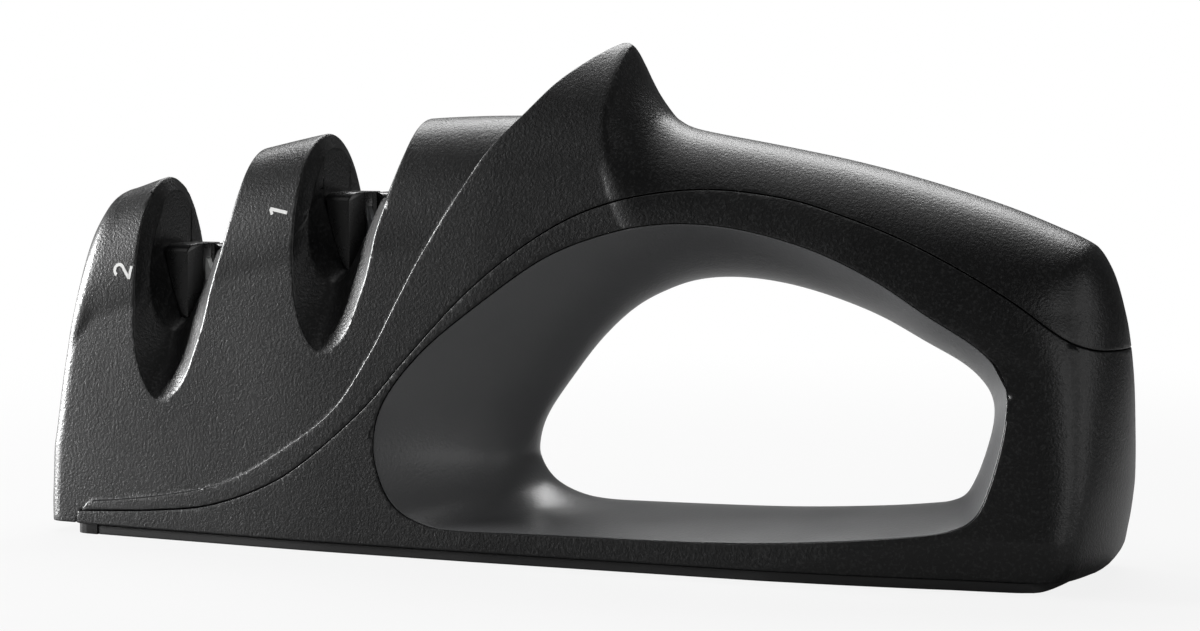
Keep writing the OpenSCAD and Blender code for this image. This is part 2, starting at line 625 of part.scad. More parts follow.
module grip_liner() {
    color("#454647") {
        skin = both_sides(skin_depths, 0, 0);
        back = both_sides(back_depths, 0, liner_thickness);
        rings = concat(skin, backward(back));
        points = [for (r = rings) each r];
        polyhedron(points, turned(band_faces(len(rings), liner_n, true)), convexity = 8);
    }
}

base_screw_top = screw_seat + small_head_d/2;
plate_screw_seat = pad_height - small_head_h/2;
module base_plate() {
    color(black_part_colour)
    difference() {
        union() {
            slab(plan_outline(plate_inset), pad_height, pad_height + plate_thickness);
            intersection() {
                slab(plan_outline(0), 0, pad_height);
                translate([nose_out, -reach, -over])
                    cube([lip_rear - nose_out, 2*reach, body_height]);
            }
        }
        for (p = base_screw_places) {
            upright_hole(p, -over, plate_screw_seat + small_head_h, small_head_d + 2*fit_gap);
            upright_hole(p, -over, body_height, small_screw_d + 2*fit_gap);
        }
    }
}

module rubber_pad() {
    color("#171819")
    difference() {
        slab(plan_outline(0), 0, pad_height);
        translate([nose_out, -reach, -over])
            cube([lip_rear + fit_gap - nose_out, 2*reach, 2*over]);
        for (p = base_screw_places)
            upright_hole(p, -over, over, small_head_d + small_head_h);
    }
}

module base_plate_screws() {
    color("#8a8d90")
    for (p = base_screw_places)
        screw(p, plate_screw_seat, base_screw_top - plate_screw_seat - small_head_h,
            small_screw_d, small_head_d, small_head_h);
}
module head_screws() {
    color("#8a8d90")
    for (p = head_screw_places)
        screw(p, screw_seat, screw_reach, screw_d, screw_head_d, screw_head_h);
}
module body_screws() {
    color("#8a8d90")
    for (p = body_screw_places)
        screw(p, screw_seat, body_screw_reach, screw_d, screw_head_d, screw_head_h);
}
module rear_screws() {
    color("#8a8d90")
    for (p = rear_screw_places)
        screw(p, rear_bore_top, rear_screw_reach, screw_d, screw_head_d, screw_head_h);
}

// The carrier is screwed up into the head beside each cartridge
carrier_screw_places = [for (x = [carrier_front, carrier_step]) [x + 0.75*small_head_d, 0]];
carrier_screw_top = fine_top - holder_height + 2*small_head_d;
module cartridge_carrier() {
    color(black_part_colour)
    difference() {
        side_block(carrier_outline, carrier_half);
        for (p = carrier_screw_places) {
            upright_hole(p, carrier_floor - over, carrier_screw_top, small_screw_d + 2*fit_gap);
            upright_hole(p, carrier_floor - over, carrier_floor + slot_rise + small_head_h,
                small_head_d + 2*fit_gap);
        }
    }
}
module carrier_screws() {
    color("#8a8d90")
    for (p = carrier_screw_places)
        screw(p, carrier_floor + slot_rise, carrier_screw_top - carrier_floor - slot_rise - small_head_h,
            small_screw_d, small_head_d, small_head_h);
}

// Half of a cartridge. Side -1 is the near half and side 1 the far half.
holder_wide = slot_width - 2*fit_gap;
clamp_z = -0.82*holder_height;
clamp_x = 0.3*holder_wide;
module holder_body(side) {
    half = holder_depth/2;
    r = holder_radius;
    intersection() {
        rotate([90, 0, 0])
            linear_extrude(height = 2*half, center = true) {
                translate([-holder_wide/2, -holder_height])
                    square([holder_wide, holder_height - r]);
                translate([-holder_wide/2 + r, -holder_height])
                    square([holder_wide - 2*r, holder_height]);
                for (x = [-1, 1])
                    translate([x*(holder_wide/2 - r), -r])
                        circle(r = r);
            }
        rotate([90, 0, 90])
            linear_extrude(height = 2*holder_wide, center = true)
                scale([side, 1])
                    union() {
                        translate([fit_gap/2, -holder_height])
                            square([half - fit_gap/2, holder_height - r]);
                        translate([fit_gap/2, -holder_height])
                            square([half - r - fit_gap/2, holder_height]);
                        translate([half - r, -r])
                            circle(r = r);
                    }
    }
}
module blade_gap() {
    half = holder_depth/2;
    mouth = gap_mouth/2;
    throat = gap_width/2;
    slab([
        [-mouth - over, -half - over], [mouth + over, -half - over], [mouth, -half],
        [throat, -half + gap_chamfer], [throat, half - gap_chamfer], [mouth, half],
        [mouth + over, half + over], [-mouth - over, half + over], [-mouth, half],
        [-throat, half - gap_chamfer], [-throat, -half + gap_chamfer], [-mouth, -half]
    ], -gap_depth, over);
}
// Flat outline of a plate that leans to the left, seen from the near side
plate_low = 9;
function lean(p, side) = [
    side*(p.x*cos(abrasive_angle) + p.y*sin(abrasive_angle)),
    p.y*cos(abrasive_angle) - p.x*sin(abrasive_angle) - v_depth
];
function plate_outline(side, grow) =
    let (
        rise = v_depth - abrasive_top_gap + grow,
        wide = abrasive_width + grow,
        inner_up = (rise - grow*sin(abrasive_angle))/cos(abrasive_angle),
        outer_up = (rise + wide*sin(abrasive_angle))/cos(abrasive_angle)
    )
    [for (p = [[-grow, -plate_low - grow], [-grow, inner_up], [wide, outer_up], [wide, -plate_low - grow]])
        lean(p, side)];
// The left arm lies in the near half and the right arm in the far half
module plate_solid(side, grow) {
    near = side < 0;
    inner = fit_gap/2 - (grow > 0 ? over : 0);
    outer = abrasive_thickness + fit_gap/2 + grow;
    rotate([90, 0, 0])
        translate([0, 0, near ? inner : -outer])
            linear_extrude(height = outer - inner)
                polygon(plate_outline(side, grow));
}
module abrasive_plate(side) {
    face = (abrasive_thickness + fit_gap/2)*(side < 0 ? -1 : 1);
    difference() {
        plate_solid(side, 0);
        translate([0, face, -v_depth])
            rotate([0, side*abrasive_angle, 0])
                rotate([0, 0, 45])
                    cube([abrasive_bevel*sqrt(2), abrasive_bevel*sqrt(2), 4*plate_low], center = true);
    }
}
module clamp_screw(x, grow) {
    half = holder_depth/2;
    translate([x, -half + small_head_h + grow, clamp_z])
        rotate([90, 0, 0])
            cylinder(h = small_head_h + grow + (grow > 0 ? over : 0), d = small_head_d + 2*grow);
    translate([x, 0.7*half + grow, clamp_z])
        rotate([90, 0, 0])
            cylinder(h = 1.7*half - small_head_h + grow, d = small_screw_d + 2*grow);
}
module holder_half(side) {
    difference() {
        holder_body(side);
        blade_gap();
        plate_solid(side, fit_gap);
        for (x = [-clamp_x, clamp_x]) clamp_screw(x, fit_gap);
    }
}
module at_slot(slot_x, top) {
    translate([slot_x, 0, top])
        children();
}
module clamp_screws() {
    for (x = [-clamp_x, clamp_x]) clamp_screw(x, 0);
}

module fine_holder_near() { color(black_part_colour) at_slot(fine_x, fine_top) holder_half(-1); }
module fine_holder_far() { color(black_part_colour) at_slot(fine_x, fine_top) holder_half(1); }
module fine_plate_left() { color("#b9bbbb") at_slot(fine_x, fine_top) abrasive_plate(-1); }
module fine_plate_right() { color("#b9bbbb") at_slot(fine_x, fine_top) abrasive_plate(1); }
module fine_clamp_screws() { color("#8a8d90") at_slot(fine_x, fine_top) clamp_screws(); }
module coarse_holder_near() { color(black_part_colour) at_slot(coarse_x, coarse_top) holder_half(-1); }
module coarse_holder_far() { color(black_part_colour) at_slot(coarse_x, coarse_top) holder_half(1); }
module coarse_blade_left() { color("#74777a") at_slot(coarse_x, coarse_top) abrasive_plate(-1); }
module coarse_blade_right() { color("#74777a") at_slot(coarse_x, coarse_top) abrasive_plate(1); }
module coarse_clamp_screws() { color("#8a8d90") at_slot(coarse_x, coarse_top) clamp_screws(); }

upper_housing();
lower_housing();
grip_liner();
base_plate();
rubber_pad();
base_plate_screws();
head_screws();
body_screws();
rear_screws();
cartridge_carrier();
carrier_screws();
fine_holder_near();
fine_holder_far();
fine_plate_left();
fine_plate_right();
fine_clamp_screws();
coarse_holder_near();
coarse_holder_far();
coarse_blade_left();
coarse_blade_right();
coarse_clamp_screws();
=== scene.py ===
# %% [markdown]
# # A pull through knife sharpener
# The object is a moulded plastic body about 200 mm long: a head with two leaf-shaped
# blade slots, a thumb fin, and a loop handle with a soft grey liner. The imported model
# is the fixed frame. Everything visible is dressed or rebuilt around it, in metres.

# %% Load the frame
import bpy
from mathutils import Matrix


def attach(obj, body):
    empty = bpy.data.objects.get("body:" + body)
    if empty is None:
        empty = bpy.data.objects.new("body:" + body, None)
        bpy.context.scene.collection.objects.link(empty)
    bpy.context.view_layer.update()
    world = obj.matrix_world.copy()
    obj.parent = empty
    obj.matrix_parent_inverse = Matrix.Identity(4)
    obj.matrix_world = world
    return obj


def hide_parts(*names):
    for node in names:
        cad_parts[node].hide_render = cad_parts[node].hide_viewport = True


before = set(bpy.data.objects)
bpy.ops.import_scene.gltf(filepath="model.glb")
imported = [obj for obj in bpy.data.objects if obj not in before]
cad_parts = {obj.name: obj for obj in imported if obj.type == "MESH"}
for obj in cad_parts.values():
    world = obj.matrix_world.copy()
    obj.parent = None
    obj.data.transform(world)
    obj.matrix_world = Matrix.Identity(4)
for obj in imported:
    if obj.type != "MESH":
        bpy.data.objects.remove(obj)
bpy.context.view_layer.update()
print("frame nodes:", len(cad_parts))

# %% Tools used in every cell
import math

import bmesh
import bpy
import numpy as np
from mathutils import Vector
from mathutils.bvhtree import BVHTree
from mathutils.kdtree import KDTree

MM = 0.001
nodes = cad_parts

# %% [markdown]
# ## Camera
# The photograph was taken from the near side, a little above, turned 23 degrees towards
# the rear end. A 90 mm lens on a 36 mm sensor gives the same gentle perspective. The
# pitch comes from how fast the base line climbs across the picture.

# %% Camera
PITCH = math.atan(207.3 / 3000)
camera_data = bpy.data.cameras.new("camera")
camera_data.lens = 90
camera_data.sensor_width = 36
camera_data.clip_start = 0.01
camera = bpy.data.objects.new("camera", camera_data)
camera.location = (0.2112, -0.4866, 0.0781)
camera.rotation_euler = (math.pi / 2 - PITCH, 0, math.radians(23))
bpy.context.collection.objects.link(camera)
bpy.context.scene.camera = camera
print("camera at", tuple(camera.location))

# %% [markdown]
# ## Shader sums as plain Python
# A material is a web of nodes, and most of the nodes are small sums. Here a socket is
# wrapped so that `1 - mask` or `a * b` adds the Math node by itself, and every other node
# comes from one method that takes its type, settings and inputs.


# %% Wrapped sockets
class Wire:
    """One output of a shader node. Sums on it add Math nodes."""

    def __init__(self, paint, socket):
        self.paint = paint
        self.socket = socket

    def sum(self, operation, first, second=None):
        values = {0: first} if second is None else {0: first, 1: second}
        return self.paint.node("ShaderNodeMath", values, operation=operation)

    def __add__(self, other):
        return self.sum("ADD", self, other)

    __radd__ = __add__

    def __mul__(self, other):
        return self.sum("MULTIPLY", self, other)

    __rmul__ = __mul__

    def __sub__(self, other):
        return self.sum("SUBTRACT", self, other)

    def __rsub__(self, other):
        return self.sum("SUBTRACT", other, self)

    def __pow__(self, other):
        return self.sum("POWER", self, other)

    def __gt__(self, other):
        return self.sum("GREATER_THAN", self, other)


class Paint:
    """A material under construction."""

    def __init__(self, name):
        self.material = bpy.data.materials.new(name)
        self.material.use_nodes = True
        self.tree = self.material.node_tree
        self.tree.nodes.clear()
        self.surface = self.tree.nodes.new("ShaderNodeBsdfPrincipled")
        self.end = self.tree.nodes.new("ShaderNodeOutputMaterial")
        self.tree.links.new(self.surface.outputs[0], self.end.inputs[0])
        self.place = self.node("ShaderNodeTexCoord", {}, output="Object")

    def feed(self, socket, value):
        if isinstance(value, Wire):
            self.tree.links.new(value.socket, socket)
        else:
            socket.default_value = value

    def node(self, kind, values, output=0, stops=None, **settings):
        made = self.tree.nodes.new(kind)
        for name, value in settings.items():
            setattr(made, name, value)
        if stops is not None:
            ramp = made.color_ramp
            while len(ramp.elements) < len(stops):
                ramp.elements.new(0.5)
            for element, (at, shade) in zip(ramp.elements, stops):
                element.position = at
                element.color = (shade, shade, shade, 1)
        for name, value in values.items():
            self.feed(made.inputs[name], value)
        return Wire(self, made.outputs[output])

    def set(self, **values):
        for name, value in values.items():
            self.feed(self.surface.inputs[name.replace("_", " ")], value)
        return self

    def noise(self, size_mm, detail=3.0, roughness=0.5):
        """Noise whose blotches are about size_mm across."""
        return self.node("ShaderNodeTexNoise", {
            "Vector": self.place, "Scale": 1 / (size_mm * MM), "Detail": detail,
            "Roughness": roughness})

    def ramp(self, value, *stops):
        return self.node("ShaderNodeValToRGB", {0: value}, stops=stops)

    def mix(self, factor, first, second):
        return self.node("ShaderNodeMix", {0: factor, 6: first, 7: second}, output=2,
                         data_type="RGBA")

    def bump(self, height, distance_mm, strength=1.0):
        return self.node("ShaderNodeBump", {
            "Height": height, "Distance": distance_mm * MM, "Strength": strength})


print("socket tools ready")

# %% [markdown]
# ## Finishes
# The housings are spark-eroded plastic: nearly black, with a fine even grain about
# 0.4 mm across that catches the light as tiny specks. The grain is a bump, and the specks
# are also painted a slightly lighter colour as painted glints, because at this distance each one is
# about a pixel.

# %% Textured housing plastic
def housing_finish():
    paint = Paint("housing_plastic")
    grain = paint.noise(0.55, detail=2.0, roughness=0.6)
    fine = paint.noise(0.28, detail=1.0)
    # Grain specks painted lighter in the base colour: painted glints where the grain catches the light
    painted_glints = paint.ramp(grain, (0.52, 0.0), (0.66, 1.0))
    clouds = paint.noise(18.0, detail=2.0)
    shade = paint.mix(painted_glints * 0.60, (0.0024, 0.0025, 0.0027, 1), (0.0270, 0.0275, 0.0280, 1))
    shade = paint.mix(clouds * 0.25, shade, (0.0055, 0.0056, 0.0058, 1))
    height = grain * 0.7 + fine * 0.3
    paint.set(Base_Color=shade, Roughness=0.33 + clouds * 0.10,
              Normal=paint.bump(height, 0.11, 1.0))
    paint.surface.inputs["Specular IOR Level"].default_value = 0.42
    return paint.material


housing_plastic = housing_finish()
print("finish:", housing_plastic.name)

# %% [markdown]
# The cartridges are a smoother, shinier black, the liner is a satin grey rubber with a
# barely visible grain, and the pad under the base is matt black rubber.

# %% Cartridge plastic, liner rubber and pad rubber
def cartridge_finish():
    paint = Paint("cartridge_plastic")
    flow = paint.noise(2.5, detail=3.0)
    paint.set(Base_Color=paint.mix(flow, (0.0030, 0.0031, 0.0033, 1), (0.0055, 0.0056, 0.0058, 1)),
              Roughness=0.22 + flow * 0.12, Normal=paint.bump(paint.noise(0.4), 0.01, 0.5))
    return paint.material


def liner_finish():
    paint = Paint("liner_rubber")
    mottle = paint.noise(9.0, detail=3.0)
    skin = paint.noise(0.5, detail=1.5)
    paint.set(Base_Color=paint.mix(mottle, (0.078, 0.079, 0.081, 1), (0.090, 0.091, 0.093, 1)),
              Roughness=0.29 + mottle * 0.08, Normal=paint.bump(skin, 0.05, 0.8))
    paint.surface.inputs["Specular IOR Level"].default_value = 0.38
    return paint.material


def pad_finish():
    paint = Paint("pad_rubber")
    dust = paint.noise(1.2, detail=4.0)
    paint.set(Base_Color=paint.mix(dust, (0.010, 0.010, 0.0105, 1), (0.017, 0.017, 0.0175, 1)),
              Roughness=0.62 + dust * 0.15, Normal=paint.bump(dust, 0.03, 0.5))
    return paint.material


cartridge_plastic = cartridge_finish()
liner_rubber = liner_finish()
pad_rubber = pad_finish()
print("finishes:", cartridge_plastic.name, liner_rubber.name, pad_rubber.name)

# %% [markdown]
# The fine plates are a pale ceramic, even and slightly speckled. The coarse plates are
# ground carbide, so they get fine scratches along one direction: a noise that is
# squeezed hard on one axis. The screws are plated steel with the same kind of marks.

# %% Ceramic, carbide and screw steel
def ceramic_finish():
    paint = Paint("ceramic")
    speck = paint.noise(0.25, detail=2.0)
    paint.set(Base_Color=paint.mix(speck, (0.60, 0.61, 0.60, 1), (0.70, 0.71, 0.70, 1)),
              Roughness=0.42 + speck * 0.1, Normal=paint.bump(speck, 0.01, 0.4))
    return paint.material


def ground_finish(name, dark, light, squeeze):
    paint = Paint(name)
    mapping = paint.node("ShaderNodeMapping", {"Vector": paint.place, "Scale": squeeze})
    marks = paint.node("ShaderNodeTexNoise", {"Vector": mapping, "Scale": 900.0, "Detail": 4.0})
    paint.set(Base_Color=paint.mix(marks, dark, light), Metallic=1.0,
              Roughness=0.30 + marks * 0.16, Normal=paint.bump(marks, 0.006, 0.6))
    return paint.material


ceramic = ceramic_finish()
carbide = ground_finish("carbide", (0.19, 0.195, 0.20, 1), (0.32, 0.33, 0.34, 1), (1.0, 1.0, 9.0))
screw_steel = ground_finish("screw_steel", (0.42, 0.43, 0.44, 1), (0.58, 0.59, 0.60, 1), (6.0, 1.0, 1.0))
print("finishes:", ceramic.name, carbide.name, screw_steel.name)

# %% [markdown]
# ## The form in numbers
# The outside is one height field over the side view: at a place (x, z) it stands a half
# width away from the middle plane. The side wall leans in as it climbs, and the last
# 23 mm under the crest round over in an ellipse. The curves below are the real object's
# profiles, as shares of its length and height, a few points each.

# %% Sizes and profiles, in millimetres and shares
LENGTH, WIDTH, HEIGHT = 199.6, 49.2, 89.5
DRAFT, CROWN, STEP, REAR_ROUND, NOSE_RADIUS = 0.15, 23.0, 0.7, 13.0, 3.0
PAD, FOOT_HEIGHT, FOOT_DEPTH, JOINT_GAP = 1.85, 6.4, 2.2, 0.2
# Front profile of the nose
NOSE = [(-0.4945, 0), (-0.4975, 0.06), (-0.499, 0.126), (-0.5, 0.17), (-0.4982, 0.212),
    (-0.4955, 0.296), (-0.4915, 0.38), (-0.485, 0.464), (-0.4797, 0.559), (-0.477, 0.637),
    (-0.4749, 0.67), (-0.4674, 0.74)]
# Profile of the rear end
REAR = [(0.4649, 0), (0.476, 0.0207), (0.4858, 0.05), (0.4897, 0.0816), (0.4931, 0.114),
    (0.4961, 0.152), (0.4981, 0.19), (0.4992, 0.261), (0.4988, 0.369), (0.4951, 0.458),
    (0.4897, 0.516), (0.4831, 0.563), (0.4751, 0.598), (0.466, 0.626), (0.4584, 0.66)]
# Crest of the recessed head
HEAD_CREST = [(-0.4825, 0.637), (-0.4709, 0.6735), (-0.4649, 0.6905), (-0.4559, 0.7017),
    (-0.4439, 0.7095), (-0.4133, 0.7312), (-0.3611, 0.763), (-0.3092, 0.791), (-0.2431, 0.8223),
    (-0.1932, 0.838), (-0.1434, 0.8514), (-0.0915, 0.857), (-0.0521, 0.8581), (-0.01, 0.8585),
    (0.0299, 0.8585), (0.0798, 0.8585), (0.1497, 0.8585)]
# Crest of the fin and handle
HANDLE_CREST = [(-0.519, 1), (-0.2994, 1), (-0.1198, 1), (-0.0299, 1), (0.015, 1), (0.0349, 1),
    (0.045, 1), (0.0521, 0.9994), (0.0562, 0.99), (0.0613, 0.9625), (0.0721, 0.914),
    (0.0867, 0.867), (0.0966, 0.8495), (0.1072, 0.838), (0.1277, 0.8268), (0.1959, 0.8),
    (0.2625, 0.771), (0.3282, 0.734), (0.3923, 0.6905), (0.4409, 0.649), (0.4589, 0.6313),
    (0.4689, 0.618), (0.478, 0.6022), (0.4902, 0.57)]
# Front edge of the raised band
STEP_LINE = [(-0.4539, 0.054), (-0.4469, 0.067), (-0.4178, 0.074), (-0.3587, 0.0927),
    (-0.3006, 0.124), (-0.2465, 0.189), (-0.1938, 0.276), (-0.1594, 0.39), (-0.1352, 0.497),
    (-0.1118, 0.5955), (-0.0626, 0.767), (-0.022, 0.866), (-0.0006, 0.92), (0.0181, 0.9564),
    (0.0347, 0.984), (0.045, 0.9985)]
# Joint between the housings
JOINT_LINE = [(-0.4567, 0.046), (-0.3737, 0.058), (-0.3123, 0.077), (-0.252, 0.1263),
    (-0.2075, 0.192), (-0.1597, 0.287), (-0.1238, 0.38), (-0.0716, 0.505), (-0.0194, 0.6),
    (0.0345, 0.669), (0.0921, 0.706), (0.1538, 0.7184), (0.219, 0.7028), (0.268, 0.6737),
    (0.3177, 0.6346), (0.3658, 0.5855), (0.416, 0.523), (0.4539, 0.4637), (0.4705, 0.4425),
    (0.4882, 0.4313), (0.5187, 0.4313)]
# Edge of the liner on the side of the body
LINER_EDGE = [(-0.1498, 0.22), (-0.1412, 0.303), (-0.1058, 0.402), (-0.0491, 0.503),
    (0.0051, 0.585), (0.0581, 0.631), (0.1082, 0.6525), (0.1584, 0.6525), (0.2075, 0.6346),
    (0.2575, 0.602), (0.3061, 0.553), (0.3487, 0.495), (0.3847, 0.448), (0.4038, 0.413),
    (0.4154, 0.374), (0.4178, 0.327), (0.4144, 0.2615), (0.4058, 0.182), (0.3958, 0.135),
    (0.3777, 0.1106), (0.3477, 0.0972), (0.2706, 0.0793), (0.1739, 0.066), (0.0151, 0.0615),
    (-0.0577, 0.0592), (-0.0921, 0.0648), (-0.1228, 0.0939), (-0.1412, 0.1475)]
# Waist of the liner in the middle plane, point for point
LINER_WAIST = [(-0.0386, 0.2), (-0.0295, 0.262), (-0.0031, 0.345), (0.0245, 0.42),
    (0.0549, 0.48), (0.0864, 0.518), (0.119, 0.541), (0.1574, 0.547), (0.2004, 0.537),
    (0.2441, 0.513), (0.2878, 0.478), (0.3285, 0.432), (0.358, 0.398), (0.3752, 0.368),
    (0.3854, 0.335), (0.3875, 0.296), (0.3824, 0.245), (0.3733, 0.19), (0.3621, 0.152),
    (0.3427, 0.131), (0.3133, 0.119), (0.2563, 0.106), (0.1729, 0.0955), (0.0631, 0.0905),
    (0.0224, 0.094), (-0.0041, 0.107), (-0.0239, 0.13), (-0.0356, 0.163)]
# Half width of the foot
FOOT = [(-0.5288, 0.366), (-0.4759, 0.39), (-0.4373, 0.4045), (-0.3807, 0.4228),
    (-0.3256, 0.439), (-0.2204, 0.4695), (-0.1203, 0.4817), (-0.0204, 0.4919), (0.0733, 0.5),
    (0.1628, 0.498), (0.2505, 0.4919), (0.3356, 0.4797), (0.3757, 0.4675), (0.417, 0.452),
    (0.4577, 0.438), (0.5187, 0.42)]
# Blade slot, from the left wall round the bottom to the right wall. Each row holds the outer
# edge x and z, the inner edge x and z, the set-in of the inner edge, and the throat x and z
LEAF = [(-0.5814, -0.285, -0.494, -0.107, 1.0, -0.494, 0.0),
    (-0.5756, -0.463, -0.483, -0.302, 1.03, -0.459, -0.085),
    (-0.5174, -0.69, -0.442, -0.431, 1.16, -0.407, -0.206),
    (-0.4012, -0.868, -0.372, -0.52, 1.48, -0.355, -0.313),
    (-0.2674, -0.975, -0.297, -0.562, 1.77, -0.302, -0.413),
    (-0.1453, -1.0, -0.221, -0.573, 1.84, -0.233, -0.488),
    (0.0233, -0.947, -0.14, -0.555, 1.77, -0.151, -0.477),
    (0.1453, -0.836, -0.07, -0.509, 1.61, -0.07, -0.427),
    (0.25, -0.648, 0.012, -0.441, 1.42, 0.023, -0.342),
    (0.314, -0.512, 0.093, -0.363, 1.26, 0.128, -0.249),
    (0.3895, -0.274, 0.233, -0.196, 1.1, 0.267, -0.114),
    (0.4884, -0.071, 0.349, -0.036, 1.03, 0.384, 0.018)]
# Right wall of a blade slot above the last row: outer x, z and inner x
RIGHT_WALL = [(0.4884, -0.071, 0.349), (0.5465, 0.071, 0.4244), (0.6105, 0.267, 0.477),
    (0.6395, 0.54, 0.494), (0.65, 0.8, 0.494)]
print("body", LENGTH, "x", WIDTH, "x", HEIGHT, "mm")

# %% [markdown]
# A few points make a smooth curve when each stretch also looks at its two neighbours.
# The same rule is used for open profiles and for closed outlines.


# %% Smooth curves
def catmull(a, b, c, d, t):
    return 0.5 * (2 * b + (c - a) * t + (2 * a - 5 * b + 4 * c - d) * t**2
                  + (3 * b - a - 3 * c + d) * t**3)


def smooth(points, parts, closed=False):
    p = np.array(points, float)
    n = len(p)
    made = []
    for i in range(n if closed else n - 1):
        pick = [(i + k) % n if closed else min(max(i + k, 0), n - 1) for k in (-1, 0, 1, 2)]
        for k in range(parts):
            made.append(catmull(*(p[j] for j in pick), k / parts))
    if not closed:
        made.append(p[-1])
    return np.array(made)


def side_curve(points, parts=8):
    return smooth(points, parts) * (LENGTH, HEIGHT)


nose_line, rear_line = side_curve(NOSE), side_curve(REAR)
head_crest, handle_crest = side_curve(HEAD_CREST), side_curve(HANDLE_CREST)
step_line, joint_line = side_curve(STEP_LINE), side_curve(JOINT_LINE)
foot_line = smooth(FOOT, 8) * (LENGTH, WIDTH)
# A smooth curve swings a little past its points, so the extremes are held
nose_line[:, 0] = np.maximum(nose_line[:, 0], -99.76)
handle_crest[:, 1] = np.minimum(handle_crest[:, 1], HEIGHT)
foot_line[:, 1] = np.minimum(foot_line[:, 1], 24.05)
print("crest highest", round(handle_crest[:, 1].max(), 2), "joint points", len(joint_line))


# %% Half width of the outside
SOFT = 7.0


def read(curve, x):
    return np.interp(x, curve[:, 0], curve[:, 1])


def front_x(z):
    return np.interp(z, nose_line[:, 1], nose_line[:, 0])


def rear_x(z):
    return np.interp(z, rear_line[:, 1], rear_line[:, 0])


def bevel_share(x):
    return np.clip((x - 0.21 * LENGTH) / (0.165 * LENGTH), 0.05, 1)


def wall_half(x, z):
    share = bevel_share(x)
    above = np.clip(z - PAD, 0, None) / (FOOT_HEIGHT * share)
    return read(foot_line, x) - DRAFT * z - FOOT_DEPTH * share * np.clip(1 - above, 0, None)


def crown_half(x, z, top, inset):
    start = top - CROWN
    rise = np.clip((z - start) / CROWN, 0, 1)
    fin = np.clip((top - 0.858 * HEIGHT) / (0.142 * HEIGHT), 0, 1)
    return (wall_half(x, np.minimum(z, start)) - inset) * (1 - rise**2) ** (0.5 + 0.2 * fin)


def rear_radius(z):
    """The rear end is flat across near the foot and rounder towards the top."""
    return REAR_ROUND * np.exp(np.clip(45 - z, 0, None) / 25)


def half_width(x, z, crest, inset=0.0):
    ahead, behind = np.clip(x - front_x(z), 0, NOSE_RADIUS), np.clip(rear_x(z) - x, 1e-6, None)
    corner = NOSE_RADIUS - np.sqrt(NOSE_RADIUS**2 - (NOSE_RADIUS - ahead) ** 2)
    section = np.clip(crown_half(x, z, read(crest, x), inset), 1e-6, None)
    rear = np.sqrt(2 * rear_radius(z) * behind)
    # The smaller of the two, with the corner between them rounded
    least = (section**-SOFT + rear**-SOFT) ** (-1 / SOFT)
    return least * (1 - 2 * corner / WIDTH)


print("half width at the liner:", round(float(half_width(40.0, 30.0, handle_crest)), 2))

# %% [markdown]
# ## From a flat grid to a skin
# A grid of quads is the easiest start for a curved shell: every vertex knows its column and
# row, so it can be sent to its place on the form. The rows run round the section from under
# the floor, up one side, over the crest and down the other, and the columns run from
# nose to rear. The first columns close the nose and the last one closes the rear end.


# %% Grids, and turning a bmesh into an object
def shape_grid(columns, rows, place):
    """A grid whose vertices go where place(column, row) says, for whole arrays at once."""
    bm = bmesh.new()
    bmesh.ops.create_grid(bm, x_segments=columns, y_segments=rows, size=1)
    flat = np.array([v.co for v in bm.verts])
    column = np.rint((flat[:, 0] + 1) / 2 * columns).astype(int)
    row = np.rint((flat[:, 1] + 1) / 2 * rows).astype(int)
    for vert, spot in zip(bm.verts, place(column, row) * MM):
        vert.co = spot
    bmesh.ops.remove_doubles(bm, verts=bm.verts, dist=0.002 * MM)
    bmesh.ops.dissolve_degenerate(bm, edges=bm.edges, dist=0.0005 * MM)
    bmesh.ops.recalc_face_normals(bm, faces=bm.faces)
    return bm


def as_object(bm, name):
    mesh = bpy.data.meshes.new(name)
    bm.to_mesh(mesh)
    bm.free()
    made = bpy.data.objects.new(name, mesh)
    bpy.context.collection.objects.link(made)
    return made


def body_skin(name, shares, crest, inset, around=100, cap=10):
    shares = np.asarray(shares)
    top = np.full(len(shares), 0.6 * HEIGHT)
    for _ in range(12):
        base, tip = front_x(top), rear_x(top)
        top = read(crest, base + shares * (tip - base))
    foot_x = front_x(PAD) + shares * (rear_x(PAD) - front_x(PAD))
    floor_part, bevel_part, wall_part = 0.05, 0.11, 0.54

    def place(column, row):
        station = np.clip(column - cap, 0, len(shares) - 1)
        share, crown_top = shares[station], top[station]
        closing = np.clip(column / cap, 0, 1) * (column <= cap + len(shares) - 1)
        side = np.where(row <= around, -1.0, 1.0)
        climb = 1 - np.abs(row - around) / around
        tall = FOOT_HEIGHT * bevel_share(foot_x)[station]
        start, bevel = crown_top - CROWN, PAD + tall
        z = np.select(
            [climb <= floor_part, climb <= bevel_part, climb <= wall_part],
            [PAD, PAD + tall * (climb - floor_part) / (bevel_part - floor_part),
             bevel + (start - bevel) * (climb - bevel_part) / (wall_part - bevel_part)],
            start + CROWN * np.sin(math.pi / 2 * (climb - wall_part) / (1 - wall_part)))
        base = front_x(z)
        x = base + share * (rear_x(z) - base)
        half = half_width(x, z, crest, inset) * np.clip(climb / floor_part, 0, 1)
        return np.stack([x, side * half * closing, z], axis=1)

    bm = shape_grid(cap + len(shares), 2 * around, place)
    return as_object(bm, name)


REAR_FINE = 20.0


def stations(first, last, step_mm):
    rear_start = 1 - REAR_FINE / LENGTH
    spaced = np.arange(first, min(last, rear_start), step_mm / LENGTH)
    if last < 1:
        return np.append(spaced, last)
    swing = np.linspace(math.pi / 2, 0.02, 34)
    return np.append(spaced, 1 - REAR_FINE / LENGTH * (1 - np.cos(swing)))


nose_steps = NOSE_RADIUS / LENGTH * (1 - np.cos(np.linspace(0.02, math.pi / 2, 10)))
head_stations = np.append(nose_steps, stations(nose_steps[-1] + 0.004, 0.56, 0.8))
band_stations = stations(0.035, 1.0, 0.8)
print("stations:", len(head_stations), "on the head,", len(band_stations), "on the band")

